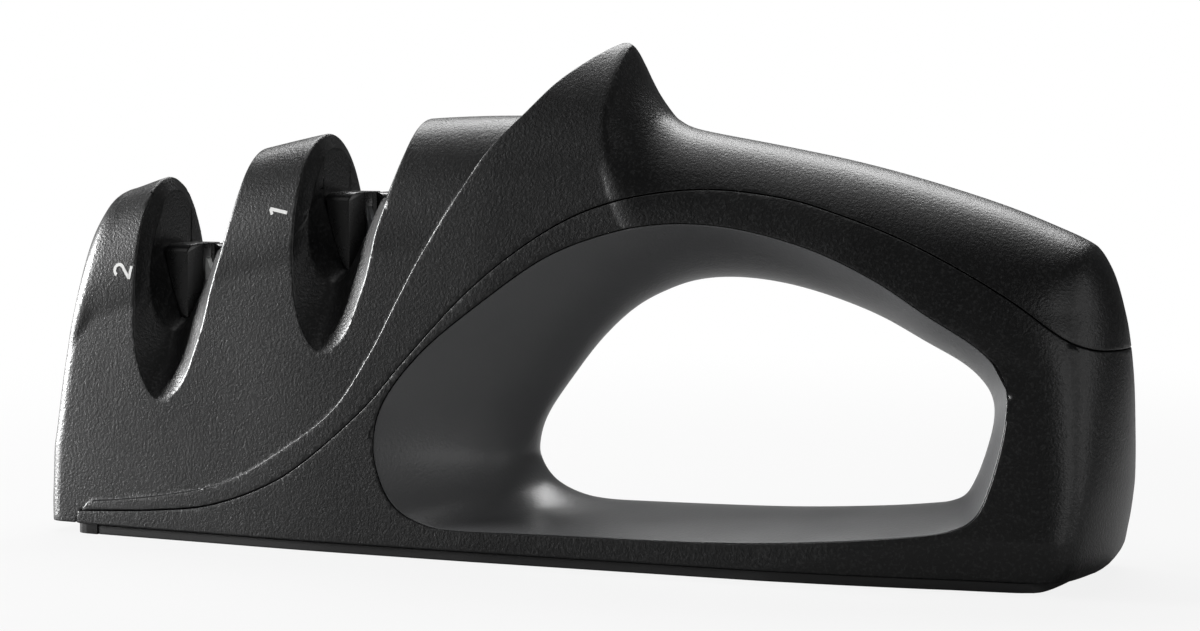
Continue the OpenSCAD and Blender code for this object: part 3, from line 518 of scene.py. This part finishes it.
# %% [markdown]
# ## Cutting along the real lines
# The joint, the step of the raised band and the blade slots are cut with solids, the way
# a tool maker would split the mould. A boolean leaves tiny edges beside each cut, so the
# vertices next to a cut are pulled onto it before its edge is rounded. Moulded plastic has
# no sharp edge: the small round is what draws the thin bright lines in the photograph.


# %% Cutters, cuts and rounded edges
def prism(name, outline, half=60.0):
    """A side-view outline in mm, carried through the whole width."""
    bm = bmesh.new()
    ring = [bm.verts.new((x * MM, -half * MM, z * MM)) for x, z in outline]
    face = bm.faces.new(ring)
    grown = bmesh.ops.extrude_face_region(bm, geom=[face])
    moved = [g for g in grown["geom"] if isinstance(g, bmesh.types.BMVert)]
    bmesh.ops.translate(bm, verts=moved, vec=(0, 2 * half * MM, 0))
    bmesh.ops.recalc_face_normals(bm, faces=bm.faces)
    return as_object(bm, name)


def settle(piece):
    """Applies the modifiers of a piece."""
    graph = bpy.context.evaluated_depsgraph_get()
    mesh = bpy.data.meshes.new_from_object(piece.evaluated_get(graph))
    piece.modifiers.clear()
    old, piece.data = piece.data, mesh
    bpy.data.meshes.remove(old)


def combine(piece, other, operation):
    step = piece.modifiers.new(operation.lower(), "BOOLEAN")
    step.operation, step.object, step.solver = operation, other, "EXACT"
    settle(piece)
    bpy.data.objects.remove(other)
    return piece


def sharp_edges(bm, degrees):
    limit = math.radians(degrees)
    return [e for e in bm.edges if len(e.link_faces) == 2 and e.calc_face_angle(0) > limit]


def point_tree(points):
    tree = KDTree(len(points))
    for index, point in enumerate(points):
        tree.insert(point, index)
    tree.balance()
    return tree


def tidy_cuts(bm, near_mm, degrees=28):
    """Pulls vertices that lie close to a sharp edge onto it, then joins crowded ones."""
    edges = sharp_edges(bm, degrees)
    on_cut = {v for e in edges for v in e.verts}
    ordered = list(on_cut)
    tree = point_tree([v.co for v in ordered])
    targets = {}
    for vert in bm.verts:
        if vert not in on_cut:
            _, index, distance = tree.find(vert.co)
            if distance < near_mm * MM:
                targets[vert] = ordered[index]
    bmesh.ops.weld_verts(bm, targetmap=targets)
    short = [e for e in sharp_edges(bm, degrees) if e.calc_length() < 0.5 * near_mm * MM]
    bmesh.ops.collapse(bm, edges=short, uvs=False)
    bmesh.ops.dissolve_degenerate(bm, edges=bm.edges, dist=0.003 * MM)


def unfold(bm, small_mm):
    """Collapses tiny faces that have folded over onto their neighbours."""
    for _ in range(4):
        folded = set()
        for edge in sharp_edges(bm, 95):
            face = min(edge.link_faces, key=lambda f: f.calc_area())
            if face.calc_area() < (small_mm * MM) ** 2:
                folded.add(min(face.edges, key=lambda e: e.calc_length()))
        if not folded:
            break
        bmesh.ops.collapse(bm, edges=list(folded), uvs=False)
        bmesh.ops.dissolve_degenerate(bm, edges=bm.edges, dist=0.002 * MM)


def round_edges(piece, radius_mm, near_mm=0.3, segments=2, degrees=28):
    bm = bmesh.new()
    bm.from_mesh(piece.data)
    bmesh.ops.remove_doubles(bm, verts=bm.verts, dist=0.004 * MM)
    bmesh.ops.triangulate(bm, faces=[f for f in bm.faces if len(f.verts) > 4])
    tidy_cuts(bm, near_mm, degrees)
    edges = sharp_edges(bm, degrees)
    before = BVHTree.FromBMesh(bm)
    kept = point_tree([v.co for v in bm.verts])
    cuts = point_tree([e.verts[0].co.lerp(e.verts[1].co, t) for e in edges
                       for t in np.linspace(0, 1, 2 + int(e.calc_length() / (0.3 * MM)))])
    bmesh.ops.bevel(bm, geom=edges, offset=radius_mm * MM, offset_type="OFFSET",
                    segments=segments, profile=0.5, affect="EDGES", clamp_overlap=False,
                    material=-1, loop_slide=True)
    strays, reach = 0, 1.5 * radius_mm * MM
    for vert in bm.verts:
        if kept.find(vert.co)[2] < 0.0005 * MM:
            continue
        cut, _, away = cuts.find(vert.co)
        skin, _, _, off = before.find_nearest(vert.co)
        if away > reach:
            drawn = cut.lerp(skin, reach / max(away, reach))
            vert.co, strays = before.find_nearest(drawn)[0], strays + 1
        elif off > 0.36 * radius_mm * MM:
            vert.co, strays = skin, strays + 1
    print(piece.name, "vertices brought back to the skin:", strays, "of", len(bm.verts))
    bmesh.ops.remove_doubles(bm, verts=bm.verts, dist=0.002 * MM)
    bmesh.ops.dissolve_degenerate(bm, edges=bm.edges, dist=0.002 * MM)
    unfold(bm, 2.5 * radius_mm)
    bmesh.ops.recalc_face_normals(bm, faces=bm.faces)
    bm.to_mesh(piece.data)
    bm.free()


def dress(piece, finish, slot, *stands_for):
    """Gives a finished piece its material, even shading, and its place in the frame."""
    piece.data.materials.clear()
    piece.data.materials.append(finish)
    for face in piece.data.polygons:
        face.use_smooth = True
    piece.modifiers.new("even shading", "WEIGHTED_NORMAL").weight = 60
    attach(piece, "root")
    if stands_for:
        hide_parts(*stands_for)
    print(piece.name, "has", len(piece.data.polygons), "faces")


print("cutting tools ready")

# %% [markdown]
# ## Blade slots
# Each slot is a leaf-shaped opening with a scooped rim. The cutter for it is a closed ring
# of sections: every section starts outside the skin, follows the scoop from the outer
# edge to the inner edge, turns in to the throat, and runs out again. Round the top it
# follows the arch of the head.

# %% Measures of the slots
SLOT_WIDTH, LEAF_DEPTH, FLARE = 17.2, 28.1, 3.1
FINE_X, FINE_TOP = -72.9, 53.1
COARSE_X, COARSE_TOP = FINE_X + 33.8, FINE_TOP + 9.9
HOLDER_DEPTH, HOLDER_HEIGHT = 10.0, 26.0
THROAT_HALF = HOLDER_DEPTH / 2 - 0.5
INWARD = 0.1 * SLOT_WIDTH
ARCH_STEPS = 26


def unit(v):
    v = np.asarray(v, float)
    return v / np.linalg.norm(v)


def arch_angle(x, z):
    return math.asin(min(1, max(0, (z - read(head_crest, x) + CROWN) / CROWN)))


def arch_point(x, angle):
    z = read(head_crest, x) - CROWN + CROWN * math.sin(angle)
    return np.array([x, -half_width(x, z, head_crest, STEP), z])


def arch_out(x, angle):
    wide = wall_half(x, read(head_crest, x) - CROWN) - STEP
    return unit([0, -math.cos(angle) / wide, math.sin(angle) / CROWN])


def blend(a, b, f):
    return a + (b - a) * f


def arch_section(outer_x, inner_x, heights, f, turn):
    outer = arch_point(outer_x, blend(math.pi / 2, arch_angle(outer_x, heights[0]), f))
    angle = blend(math.pi / 2, arch_angle(inner_x, heights[1]), f)
    out = arch_out(inner_x, angle)
    inner = arch_point(inner_x, angle) - FLARE * out
    inner = np.array([inner_x, -max(0.0, -inner[1]), inner[2]])
    crest_z = read(head_crest, inner_x) - 1.2 * FLARE
    throat = np.array([inner_x, -THROAT_HALF * f, blend(crest_z, heights[2], f)])
    return outer, inner, throat, np.array([turn * INWARD, 0, 0]), out


def leaf_section(row, slot_x, top):
    ox, ix, tx = (slot_x + row[k] * SLOT_WIDTH for k in (0, 2, 5))
    oz, iz, tz = (top + row[k] * LEAF_DEPTH for k in (1, 3, 6))
    outer = np.array([ox, -half_width(ox, oz, head_crest, STEP), oz])
    inner = np.array([ix, -half_width(ix, iz, head_crest, STEP) + row[4] * FLARE, iz])
    middle = np.array([slot_x - 0.09 * SLOT_WIDTH, 0, top - 0.07 * LEAF_DEPTH])
    toward = unit([middle[0] - tx, 0, middle[2] - tz])
    return outer, inner, np.array([tx, -THROAT_HALF, tz]), INWARD * toward, np.array([0, -1.0, 0])


def slot_sections(slot_x, top):
    rows = smooth(LEAF, 7)

    def heights(row):
        return [top + row[k] * LEAF_DEPTH for k in (1, 3, 6)]

    first, last = rows[0], rows[-1]
    left = [arch_section(slot_x + first[0] * SLOT_WIDTH, slot_x + first[2] * SLOT_WIDTH,
                         heights(first), k / ARCH_STEPS, 1) for k in range(ARCH_STEPS)]
    right_edge = smooth(RIGHT_WALL, 8)
    crest_z = read(head_crest, slot_x + 0.64 * SLOT_WIDTH)
    right = []
    for k in range(1, ARCH_STEPS + 1):
        f = 1 - k / ARCH_STEPS
        rise = math.sin(math.pi / 2 * (1 - f))
        edge_x = []
        for height, column in ((heights(last)[0], 0), (heights(last)[1], 2)):
            share = (blend(height, crest_z, rise) - top) / LEAF_DEPTH
            edge_x.append(slot_x + SLOT_WIDTH * np.interp(share, right_edge[:, 1],
                                                          right_edge[:, column]))
        right.append(arch_section(*edge_x, heights(last), f, -1))
    near = left + [leaf_section(row, slot_x, top) for row in rows] + right
    flip = np.array([1, -1, 1])
    far = [tuple(p * flip for p in section) for section in near[-2:0:-1]]
    return near + far


print("sections round a slot:", len(slot_sections(FINE_X, FINE_TOP)))


# %% The cutter of one slot
def scoop_profile(outer, inner, throat, inward, away):
    """Points of one section: the scoop is slightly hollow and its inner edge is soft."""
    start = inner + (outer - inner) * (1 + 1.2 / np.linalg.norm(outer - inner))
    chord = inner - outer
    spread = np.array([chord[0], 0, chord[2]])
    hollow = -0.10 * spread if np.linalg.norm(spread) > 0.01 else 0 * spread
    scoop = [outer + chord * s + hollow * 4 * s * (1 - s) * 0.5 for s in np.linspace(0, 0.93, 11)]
    before, after = scoop[-1], inner + (throat - inner) * min(
        0.5, 0.35 / max(0.01, np.linalg.norm(throat - inner)))
    turn = [(1 - s) ** 2 * before + 2 * s * (1 - s) * inner + s**2 * after
            for s in np.linspace(0, 1, 6)[1:]]
    rest = [after + (throat - after) * s for s in (0.35, 0.7, 1.0)]
    return [start] + scoop + turn + rest + [throat + inward, throat + inward + away * WIDTH]


def slot_cutter(name, slot_x, top):
    rings = np.array([scoop_profile(*s) for s in slot_sections(slot_x, top)])
    count, across = rings.shape[:2]

    def place(column, row):
        return rings[column % count, row % across]

    return as_object(shape_grid(count, across, place), name)


def slot_way(name, slot_x, top):
    """The clear way between the scoops, a little inside their throats."""
    middle = np.array([-0.09 * SLOT_WIDTH, -0.07 * LEAF_DEPTH])
    half_inward = 0.05 * SLOT_WIDTH
    low = []
    for row in smooth(LEAF, 7):
        p = np.array([row[5] * SLOT_WIDTH, row[6] * LEAF_DEPTH])
        low.append(p + half_inward * unit(middle - p) + (slot_x, top))
    right = [(slot_x + r[2] * SLOT_WIDTH - half_inward, top + r[1] * LEAF_DEPTH)
             for r in smooth(RIGHT_WALL, 8)[5:]]
    wall = slot_x - 0.444 * SLOT_WIDTH
    sky = HEIGHT + 5
    outline = [(wall, sky), (wall, top)] + low + right + [(slot_x + 0.444 * SLOT_WIDTH, sky)]
    return prism(name, outline)


def pocket(name, slot_x, top):
    half, depth = SLOT_WIDTH / 2, HOLDER_DEPTH / 2 + 0.1
    low, high = top - HOLDER_HEIGHT - 0.1, HEIGHT + 5
    box = [(slot_x - half, low), (slot_x + half, low), (slot_x + half, high), (slot_x - half, high)]
    return prism(name, box, depth)


print("slot cutters ready")


# %% [markdown]
# ## The two housings
# The areas of the side view are closed outlines: the head, the raised band with the fin, and
# the lower shell with the handle. Each skin is kept only inside its area.

# %% Areas of the side view
SKY, REAR_OUT, NOSE_OUT = HEIGHT + 5, LENGTH / 2 + 5, -LENGTH / 2 - 5
joint_front, joint_rear_z = tuple(joint_line[0]), joint_line[-1][1]
BAND_FRONT, LIP_FRONT = -0.46 * LENGTH, -0.4625 * LENGTH
above_joint = [(x, z + JOINT_GAP) for x, z in joint_line]
raised_area = ([(REAR_OUT, joint_rear_z)] + [p for p in above_joint[::-1] if p[0] < REAR_OUT]
               + [tuple(p) for p in step_line] + [(step_line[-1][0], SKY), (REAR_OUT, SKY)])
head_area = ([(NOSE_OUT, PAD), (LIP_FRONT - JOINT_GAP, PAD), (BAND_FRONT, joint_front[1])]
             + [p for p in above_joint if p[0] < -0.1 * LENGTH]
             + [(0.02 * LENGTH, 0.87 * HEIGHT), (0.02 * LENGTH, SKY), (NOSE_OUT, SKY)])
lower_area = ([(LIP_FRONT, 0), (BAND_FRONT, joint_front[1])] + [tuple(p) for p in joint_line]
              + [(REAR_OUT, joint_rear_z), (REAR_OUT, 0)])
print("outline points:", len(raised_area), len(head_area), len(lower_area))

# %% Upper housing
upper = body_skin("upper_shell", band_stations, handle_crest, 0)
combine(upper, prism("cut_raised", raised_area), "INTERSECT")
head = body_skin("head", head_stations, head_crest, STEP)
combine(head, prism("cut_head", head_area), "INTERSECT")
for slot_x, top in ((FINE_X, FINE_TOP), (COARSE_X, COARSE_TOP)):
    for cutter in (slot_cutter, slot_way, pocket):
        combine(head, cutter("cut_slot", slot_x, top), "DIFFERENCE")
combine(upper, head, "UNION")
round_edges(upper, 0.2, degrees=31)
dress(upper, housing_plastic, "housing_plastic", "upper_housing")

# %% [markdown]
# ## The grip liner
# The liner is a scoop that runs from its edge on the side of the body to a waist in the
# middle plane. Every section is one curve between an edge point and a waist point, and
# the same curve pushed back by the wall makes the seat in the lower housing.

# %% The liner and its seat
LINER_WALL, LINER_CURVE, SEAT_GAP = 1.9, 1.9, 0.1
liner_edge = smooth(LINER_EDGE, 8, closed=True) * (LENGTH, HEIGHT)
liner_waist = smooth(LINER_WAIST, 8, closed=True) * (LENGTH, HEIGHT)
outward = liner_edge - liner_waist
outward /= np.linalg.norm(outward, axis=1)[:, None]


def scoop_points(k, depth, side, wide, back):
    rim = liner_edge[k] + wide * outward[k]
    waist = liner_waist[k] + back[:, None] * outward[k]
    p = rim + (waist - rim) * (1 - (1 - depth) ** LINER_CURVE)[:, None]
    skin = half_width(liner_edge[k][:, 0], liner_edge[k][:, 1], handle_crest)
    return np.stack([p[:, 0], side * (skin - back) * (1 - depth), p[:, 1]], axis=1)


def two_sides(steps):
    """Depths from the near edge through the waist to the far edge, with their sides."""
    depth = 1 - np.abs(np.linspace(-1, 1, 2 * steps + 1))
    return depth, np.where(np.arange(2 * steps + 1) < steps, -1.0, 1.0)


def liner_piece(name, steps=36):
    depth, side = two_sides(steps)
    depths = np.concatenate([depth, depth])
    sides = np.concatenate([side, -side])
    backs = np.concatenate([0 * depth, 0 * depth + LINER_WALL])
    count, across = len(liner_edge), len(depths)

    def place(column, row):
        k, r = column % count, row % across
        return scoop_points(k, depths[r], sides[r], 0.0, backs[r])

    return as_object(shape_grid(count, across, place), name)


def handle_cutter(name, steps=24):
    depth, side = two_sides(steps)
    depth, side = np.concatenate([[0], depth, [0]]), np.concatenate([[-1], side, [1]])
    count, across = len(liner_edge), len(depth) - 1

    def place(column, row):
        k = column % count
        p = scoop_points(k, depth[row], side[row], SEAT_GAP, 0 * depth[row] + LINER_WALL + SEAT_GAP)
        ends = (row == 0) | (row == across)
        p[ends, 1] = side[row][ends] * 60
        return p

    bm = shape_grid(count, across, place)
    bmesh.ops.holes_fill(bm, edges=[e for e in bm.edges if e.is_boundary], sides=0)
    bmesh.ops.recalc_face_normals(bm, faces=bm.faces)
    return as_object(bm, name)


liner = liner_piece("grip_liner_skin")
round_edges(liner, 0.35, near_mm=0.0, segments=3, degrees=50)
dress(liner, liner_rubber, "liner_rubber", "grip_liner")

# %% Lower housing
PLATE_THICK = 1.2
lower = body_skin("lower_shell", band_stations, handle_crest, 0)
combine(lower, prism("cut_lower", lower_area), "INTERSECT")
combine(lower, handle_cutter("cut_handle"), "DIFFERENCE")
round_edges(lower, 0.14, degrees=36)
dress(lower, housing_plastic, "housing_plastic", "lower_housing")

# %% [markdown]
# ## The rubber pad
# The pad follows the foot a little inside it and ends square behind, with round corners.
# Four holes let the screws of the base plate through.


# %% Rubber pad
def extruded(name, outline, axis, low, high):
    """An outline in mm, swept between two heights along an axis: 1 for Y and 2 for Z."""
    def place(a, b, level):
        return Vector((a, level, b) if axis == 1 else (a, b, level)) * MM

    bm = bmesh.new()
    face = bm.faces.new([bm.verts.new(place(a, b, low)) for a, b in outline])
    grown = bmesh.ops.extrude_face_region(bm, geom=[face])
    moved = [g for g in grown["geom"] if isinstance(g, bmesh.types.BMVert)]
    bmesh.ops.translate(bm, verts=moved, vec=place(0, 0, high - low))
    bmesh.ops.recalc_face_normals(bm, faces=bm.faces)
    return as_object(bm, name)


def foot_half(x):
    face = np.sqrt(2 * 150.0 * np.clip(PAD_REAR - x, 1e-6, None))
    wall = wall_half(x, PAD) - PAD_INSET
    return (wall**-4.0 + face**-4.0) ** -0.25


PAD_FRONT, PAD_REAR, PAD_INSET, HOLE = -87.5, 90.7, 0.5, 3.2
swing = np.cos(np.linspace(0, math.pi / 2, 40))
run = np.concatenate([np.arange(PAD_FRONT, PAD_REAR - 20, 1.5), PAD_REAR - 20 * swing**2])
near_side = [(x, -foot_half(x)) for x in run]
pad = extruded("pad", near_side + [(x, -y) for x, y in near_side[-2::-1]], 2, 0.0, PAD - 0.04)
for x in (-0.33 * LENGTH, 0.36 * LENGTH):
    for y in (-0.26 * WIDTH, 0.26 * WIDTH):
        ring = [(x + HOLE * math.cos(t), y + HOLE * math.sin(t))
                for t in np.linspace(0, 2 * math.pi, 48, endpoint=False)]
        combine(pad, extruded("cut_hole", ring, 2, -1.0, PAD + 1), "DIFFERENCE")
round_edges(pad, 0.3, near_mm=0.0, degrees=40)
dress(pad, pad_rubber, "pad_rubber", "rubber_pad")

# %% [markdown]
# ## Cartridges
# A cartridge is two black halves with a rounded top. A narrow gap with a wide mouth guides
# the blade, and two flat abrasives cross in it as a V, one in each half.

# %% Holders
FIT = 0.1
HOLDER_WIDE, TOP_ROUND, CORNER_ROUND = SLOT_WIDTH - 2 * FIT, 1.7, 0.8
MOUTH, THROAT, CHAMFER, GAP_DEPTH = 7.0 / 2, 2.4 / 2, 1.9, 14.0
PLATE_WIDE, PLATE_DEEP, PLATE_LOW = 6.0, 2.1, 9.0
LEAN, V_DEPTH, PLATE_DROP, PLATE_BEVEL = math.radians(19), 6.6, 2.0, 0.6


def bevel_where(piece, radius_mm, segments, chosen):
    """Rounds the edges whose ends, in mm, satisfy a rule."""
    bm = bmesh.new()
    bm.from_mesh(piece.data)
    edges = [e for e in bm.edges if e.calc_face_angle(0) > 0.3
             and chosen(e.verts[0].co / MM, e.verts[1].co / MM)]
    bmesh.ops.bevel(bm, geom=edges, offset=radius_mm * MM, offset_type="OFFSET",
                    segments=segments, profile=0.5, affect="EDGES", clamp_overlap=True,
                    material=-1)
    bm.to_mesh(piece.data)
    bm.free()


def plate_outline(side, grow):
    rise, wide = V_DEPTH - PLATE_DROP + grow, PLATE_WIDE + grow
    inner_up = (rise - grow * math.sin(LEAN)) / math.cos(LEAN)
    outer_up = (rise + wide * math.sin(LEAN)) / math.cos(LEAN)
    low = -PLATE_LOW - grow
    flat = [(-grow, low), (-grow, inner_up), (wide, outer_up), (wide, low)]
    return [(side * (a * math.cos(LEAN) + b * math.sin(LEAN)),
             b * math.cos(LEAN) - a * math.sin(LEAN) - V_DEPTH) for a, b in flat]


def shifted(outline, slot_x, top):
    return [(x + slot_x, z + top) for x, z in outline]


def holder(name, side, slot_x, top):
    wide, deep = HOLDER_WIDE / 2, HOLDER_DEPTH / 2
    box = [(slot_x - wide, top - HOLDER_HEIGHT), (slot_x + wide, top - HOLDER_HEIGHT),
           (slot_x + wide, top), (slot_x - wide, top)]
    made = extruded(name, box, 1, *sorted((side * FIT / 2, side * deep)))
    bevel_where(made, TOP_ROUND, 7, lambda a, b: a.z > top - 0.1 and b.z > top - 0.1
                and (abs(a.y - b.y) > 1 or abs(a.y) > 1))
    bevel_where(made, CORNER_ROUND, 5, lambda a, b: abs(a.z - b.z) > 10
                and abs(a.y) > deep - 0.1 and abs(a.x - slot_x) > wide - 0.1)
    gap = [(-MOUTH - 5, -deep - 5), (MOUTH + 5, -deep - 5), (MOUTH, -deep),
           (THROAT, CHAMFER - deep), (THROAT, deep - CHAMFER), (MOUTH, deep),
           (MOUTH + 5, deep + 5), (-MOUTH - 5, deep + 5), (-MOUTH, deep),
           (-THROAT, deep - CHAMFER), (-THROAT, CHAMFER - deep), (-MOUTH, -deep)]
    gap = extruded("cut_gap", [(a + slot_x, b) for a, b in gap], 2, top - GAP_DEPTH, top + 5)
    combine(made, gap, "DIFFERENCE")
    recess = extruded("cut_plate", shifted(plate_outline(side, FIT), slot_x, top), 1,
                      *sorted((side * -5.0, side * (PLATE_DEEP + 1.5 * FIT))))
    combine(made, recess, "DIFFERENCE")
    round_edges(made, 0.14, near_mm=0.0, degrees=32)
    return made


def plate(node, side, slot_x, top, finish, slot):
    made = extruded(node + "_ground", shifted(plate_outline(side, 0), slot_x, top), 1,
                    *sorted((side * FIT / 2, side * (PLATE_DEEP + FIT / 2))))
    face = side * (PLATE_DEEP + FIT / 2)
    inner = plate_outline(side, 0)[:2]
    low, high = ((x + slot_x, z + top) for x, z in inner)

    def ground(a, b):
        ends = sorted(((a.x, a.z), (b.x, b.z)), key=lambda p: p[1])
        return (abs(a.y - face) < 0.01 and abs(b.y - face) < 0.01
                and math.dist(ends[0], low) < 0.05 and math.dist(ends[1], high) < 0.05)

    bevel_where(made, PLATE_BEVEL, 1, ground)
    round_edges(made, 0.08, near_mm=0.0, degrees=30)
    dress(made, finish, slot, node)


for slot_name, slot_x, top, plate_name, slot, finish in (
        ("fine", FINE_X, FINE_TOP, "plate", "ceramic", ceramic),
        ("coarse", COARSE_X, COARSE_TOP, "blade", "carbide", carbide)):
    for side, holder_side, plate_side in ((-1, "near", "left"), (1, "far", "right")):
        half = holder(f"{slot_name}_half_{holder_side}", side, slot_x, top)
        dress(half, cartridge_plastic, "cartridge_plastic", f"{slot_name}_holder_{holder_side}")
        plate(f"{slot_name}_{plate_name}_{plate_side}", side, slot_x, top, finish, slot)

# %% [markdown]
# ## Stage numbers
# The two slots carry plain white numbers, printed on the wall beside each slot and turned
# to read upwards. Each stroke is a narrow strip whose points are laid on the skin.


# %% Printed numbers
def ink_finish():
    paint = Paint("print_white")
    wear = paint.noise(0.8)
    paint.set(Base_Color=paint.mix(wear, (0.68, 0.68, 0.67, 1), (0.78, 0.78, 0.77, 1)),
              Roughness=0.5 + wear * 0.1)
    return paint.material


def stroke(name, path, middle, tall, lean):
    """A strip along a path given in shares of the number's height."""
    line = np.array(path, float)
    along = np.gradient(line, axis=0)
    along /= np.linalg.norm(along, axis=1)[:, None]
    across = np.stack([-along[:, 1], along[:, 0]], axis=1) * 0.075

    def place(column, row):
        flat = (line[column] + across[column] * (row - 1)[:, None]) * tall
        # Turned to read upwards: the number's right becomes up, and its top points forward
        x = middle[0] - flat[:, 1] * math.cos(lean) + flat[:, 0] * math.sin(lean)
        z = middle[1] + flat[:, 0] * math.cos(lean) + flat[:, 1] * math.sin(lean)
        return np.stack([x, -half_width(x, z, head_crest, STEP) - 0.03, z], axis=1)

    return as_object(shape_grid(len(line) - 1, 2, place), name)


def arc(cx, cy, r, start, end, parts=24):
    turn = np.radians(np.linspace(start, end, parts))
    return [(cx + r * math.cos(t), cy + r * math.sin(t)) for t in turn]


def straight(a, b, parts=10):
    return [tuple(np.array(a) + (np.array(b) - a) * t) for t in np.linspace(0, 1, parts)]


two = arc(0, 0.22, 0.245, 165, -35) + straight((0.17, 0.05), (-0.27, -0.43), 12)
number_strokes = {
    "number_2_bow": (two, 0), "number_2_foot": (straight((-0.30, -0.425), (0.30, -0.425)), 0),
    "number_1_stem": (straight((0.06, -0.5), (0.06, 0.46), 16), 1),
    "number_1_flag": (straight((0.06, 0.43), (-0.17, 0.27)), 1),
}
ink = ink_finish()
for name, (path, which) in number_strokes.items():
    middle = ((-85.6, 48.2), (-52.7, 59.5))[which]
    strip = stroke(name, path, middle, 4.0, math.radians(10))
    strip.data.materials.append(ink)
    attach(strip, "root")
print("numbers laid:", len(number_strokes), "strokes")

# %% [markdown]
# ## Pieces that stay as built
# The base plate, the carrier and the screws already have their right shapes in
# the frame, so they only get their finishes.

# %% Finishes for the pieces of the frame
STAYING = {
    "base_plate": cartridge_plastic,
    "cartridge_carrier": cartridge_plastic, "base_plate_screws": screw_steel,
    "head_screws": screw_steel, "body_screws": screw_steel, "rear_screws": screw_steel,
    "carrier_screws": screw_steel, "fine_clamp_screws": screw_steel,
    "coarse_clamp_screws": screw_steel,
}
for name, finish in STAYING.items():
    piece = bpy.data.objects[name]
    for slot in piece.material_slots:
        slot.material = finish
print("dressed", len(STAYING), "pieces of the frame")

# %% [markdown]
# ## Floor, background and light
# The floor is pale and matt. For the camera most of it is plain white, and the rest is the
# real shaded floor, which keeps the soft shadow under the foot. A wide softbox overhead
# gives the broad highlights on the shoulders, and weaker ones fill the near side.


# %% Floor and background
floor_paint = Paint("floor")
floor_paint.set(Base_Color=floor_paint.mix(floor_paint.noise(60.0), (0.34, 0.34, 0.34, 1),
                                           (0.36, 0.36, 0.36, 1)), Roughness=0.9)
tree = floor_paint.tree
reach = floor_paint.node("ShaderNodeVectorMath", {0: floor_paint.place}, operation="LENGTH",
                         output="Value")
far = floor_paint.node("ShaderNodeMapRange", {0: reach, 1: 0.16, 2: 0.45, 3: 0.86, 4: 1.0},
                       interpolation_type="SMOOTHSTEP")
path = tree.nodes.new("ShaderNodeLightPath")
seen = floor_paint.node("ShaderNodeMath", {0: Wire(floor_paint, path.outputs["Is Camera Ray"]),
                                           1: far}, operation="MULTIPLY")
white = tree.nodes.new("ShaderNodeEmission")
both = tree.nodes.new("ShaderNodeMixShader")
tree.links.new(seen.socket, both.inputs[0])
tree.links.new(floor_paint.surface.outputs[0], both.inputs[1])
tree.links.new(white.outputs[0], both.inputs[2])
tree.links.new(both.outputs[0], floor_paint.end.inputs[0])
floor_bm = bmesh.new()
bmesh.ops.create_grid(floor_bm, x_segments=8, y_segments=8, size=6)
floor = as_object(floor_bm, "floor")
floor.data.materials.append(floor_paint.material)

world = bpy.data.worlds.new("studio")
bpy.context.scene.world = world
world.use_nodes = True
tree = world.node_tree
room = tree.nodes["Background"]
room.inputs["Color"].default_value = (1, 1, 1, 1)
room.inputs["Strength"].default_value = 0.06
path = tree.nodes.new("ShaderNodeLightPath")
seen = tree.nodes.new("ShaderNodeBackground")
seen.inputs["Color"].default_value = (1, 1, 1, 1)
both = tree.nodes.new("ShaderNodeMixShader")
tree.links.new(path.outputs["Is Camera Ray"], both.inputs[0])
tree.links.new(room.outputs[0], both.inputs[1])
tree.links.new(seen.outputs[0], both.inputs[2])
tree.links.new(both.outputs[0], tree.nodes["World Output"].inputs[0])
print("stage set")


# %% Lamps
def softbox(name, place, aim, wide, high, watts):
    lamp = bpy.data.lights.new(name, "AREA")
    lamp.shape, lamp.size, lamp.size_y, lamp.energy = "RECTANGLE", wide, high, watts
    made = bpy.data.objects.new(name, lamp)
    made.location = place
    made.rotation_euler = (Vector(aim) - Vector(place)).to_track_quat("-Z", "Y").to_euler()
    bpy.context.collection.objects.link(made)


softbox("overhead", (-0.05, 0.05, 0.80), (0, 0, 0.04), 0.7, 0.4, 1.0)
softbox("back", (-0.22, 0.50, 0.72), (0, 0, 0.06), 0.9, 0.34, 9.5)
softbox("left", (-0.95, -0.08, 0.21), (0, 0, 0.05), 0.22, 0.26, 23.0)
softbox("front_left", (-0.46, -0.60, 0.34), (-0.06, 0, 0.05), 0.3, 0.45, 0.3)
softbox("front_right", (0.70, -0.70, 0.30), (0, 0, 0.05), 0.5, 0.5, 1.5)
softbox("right", (0.90, -0.06, 0.26), (0.05, 0, 0.05), 0.4, 0.5, 1.0)
bpy.context.scene.view_settings.view_transform = "Standard"
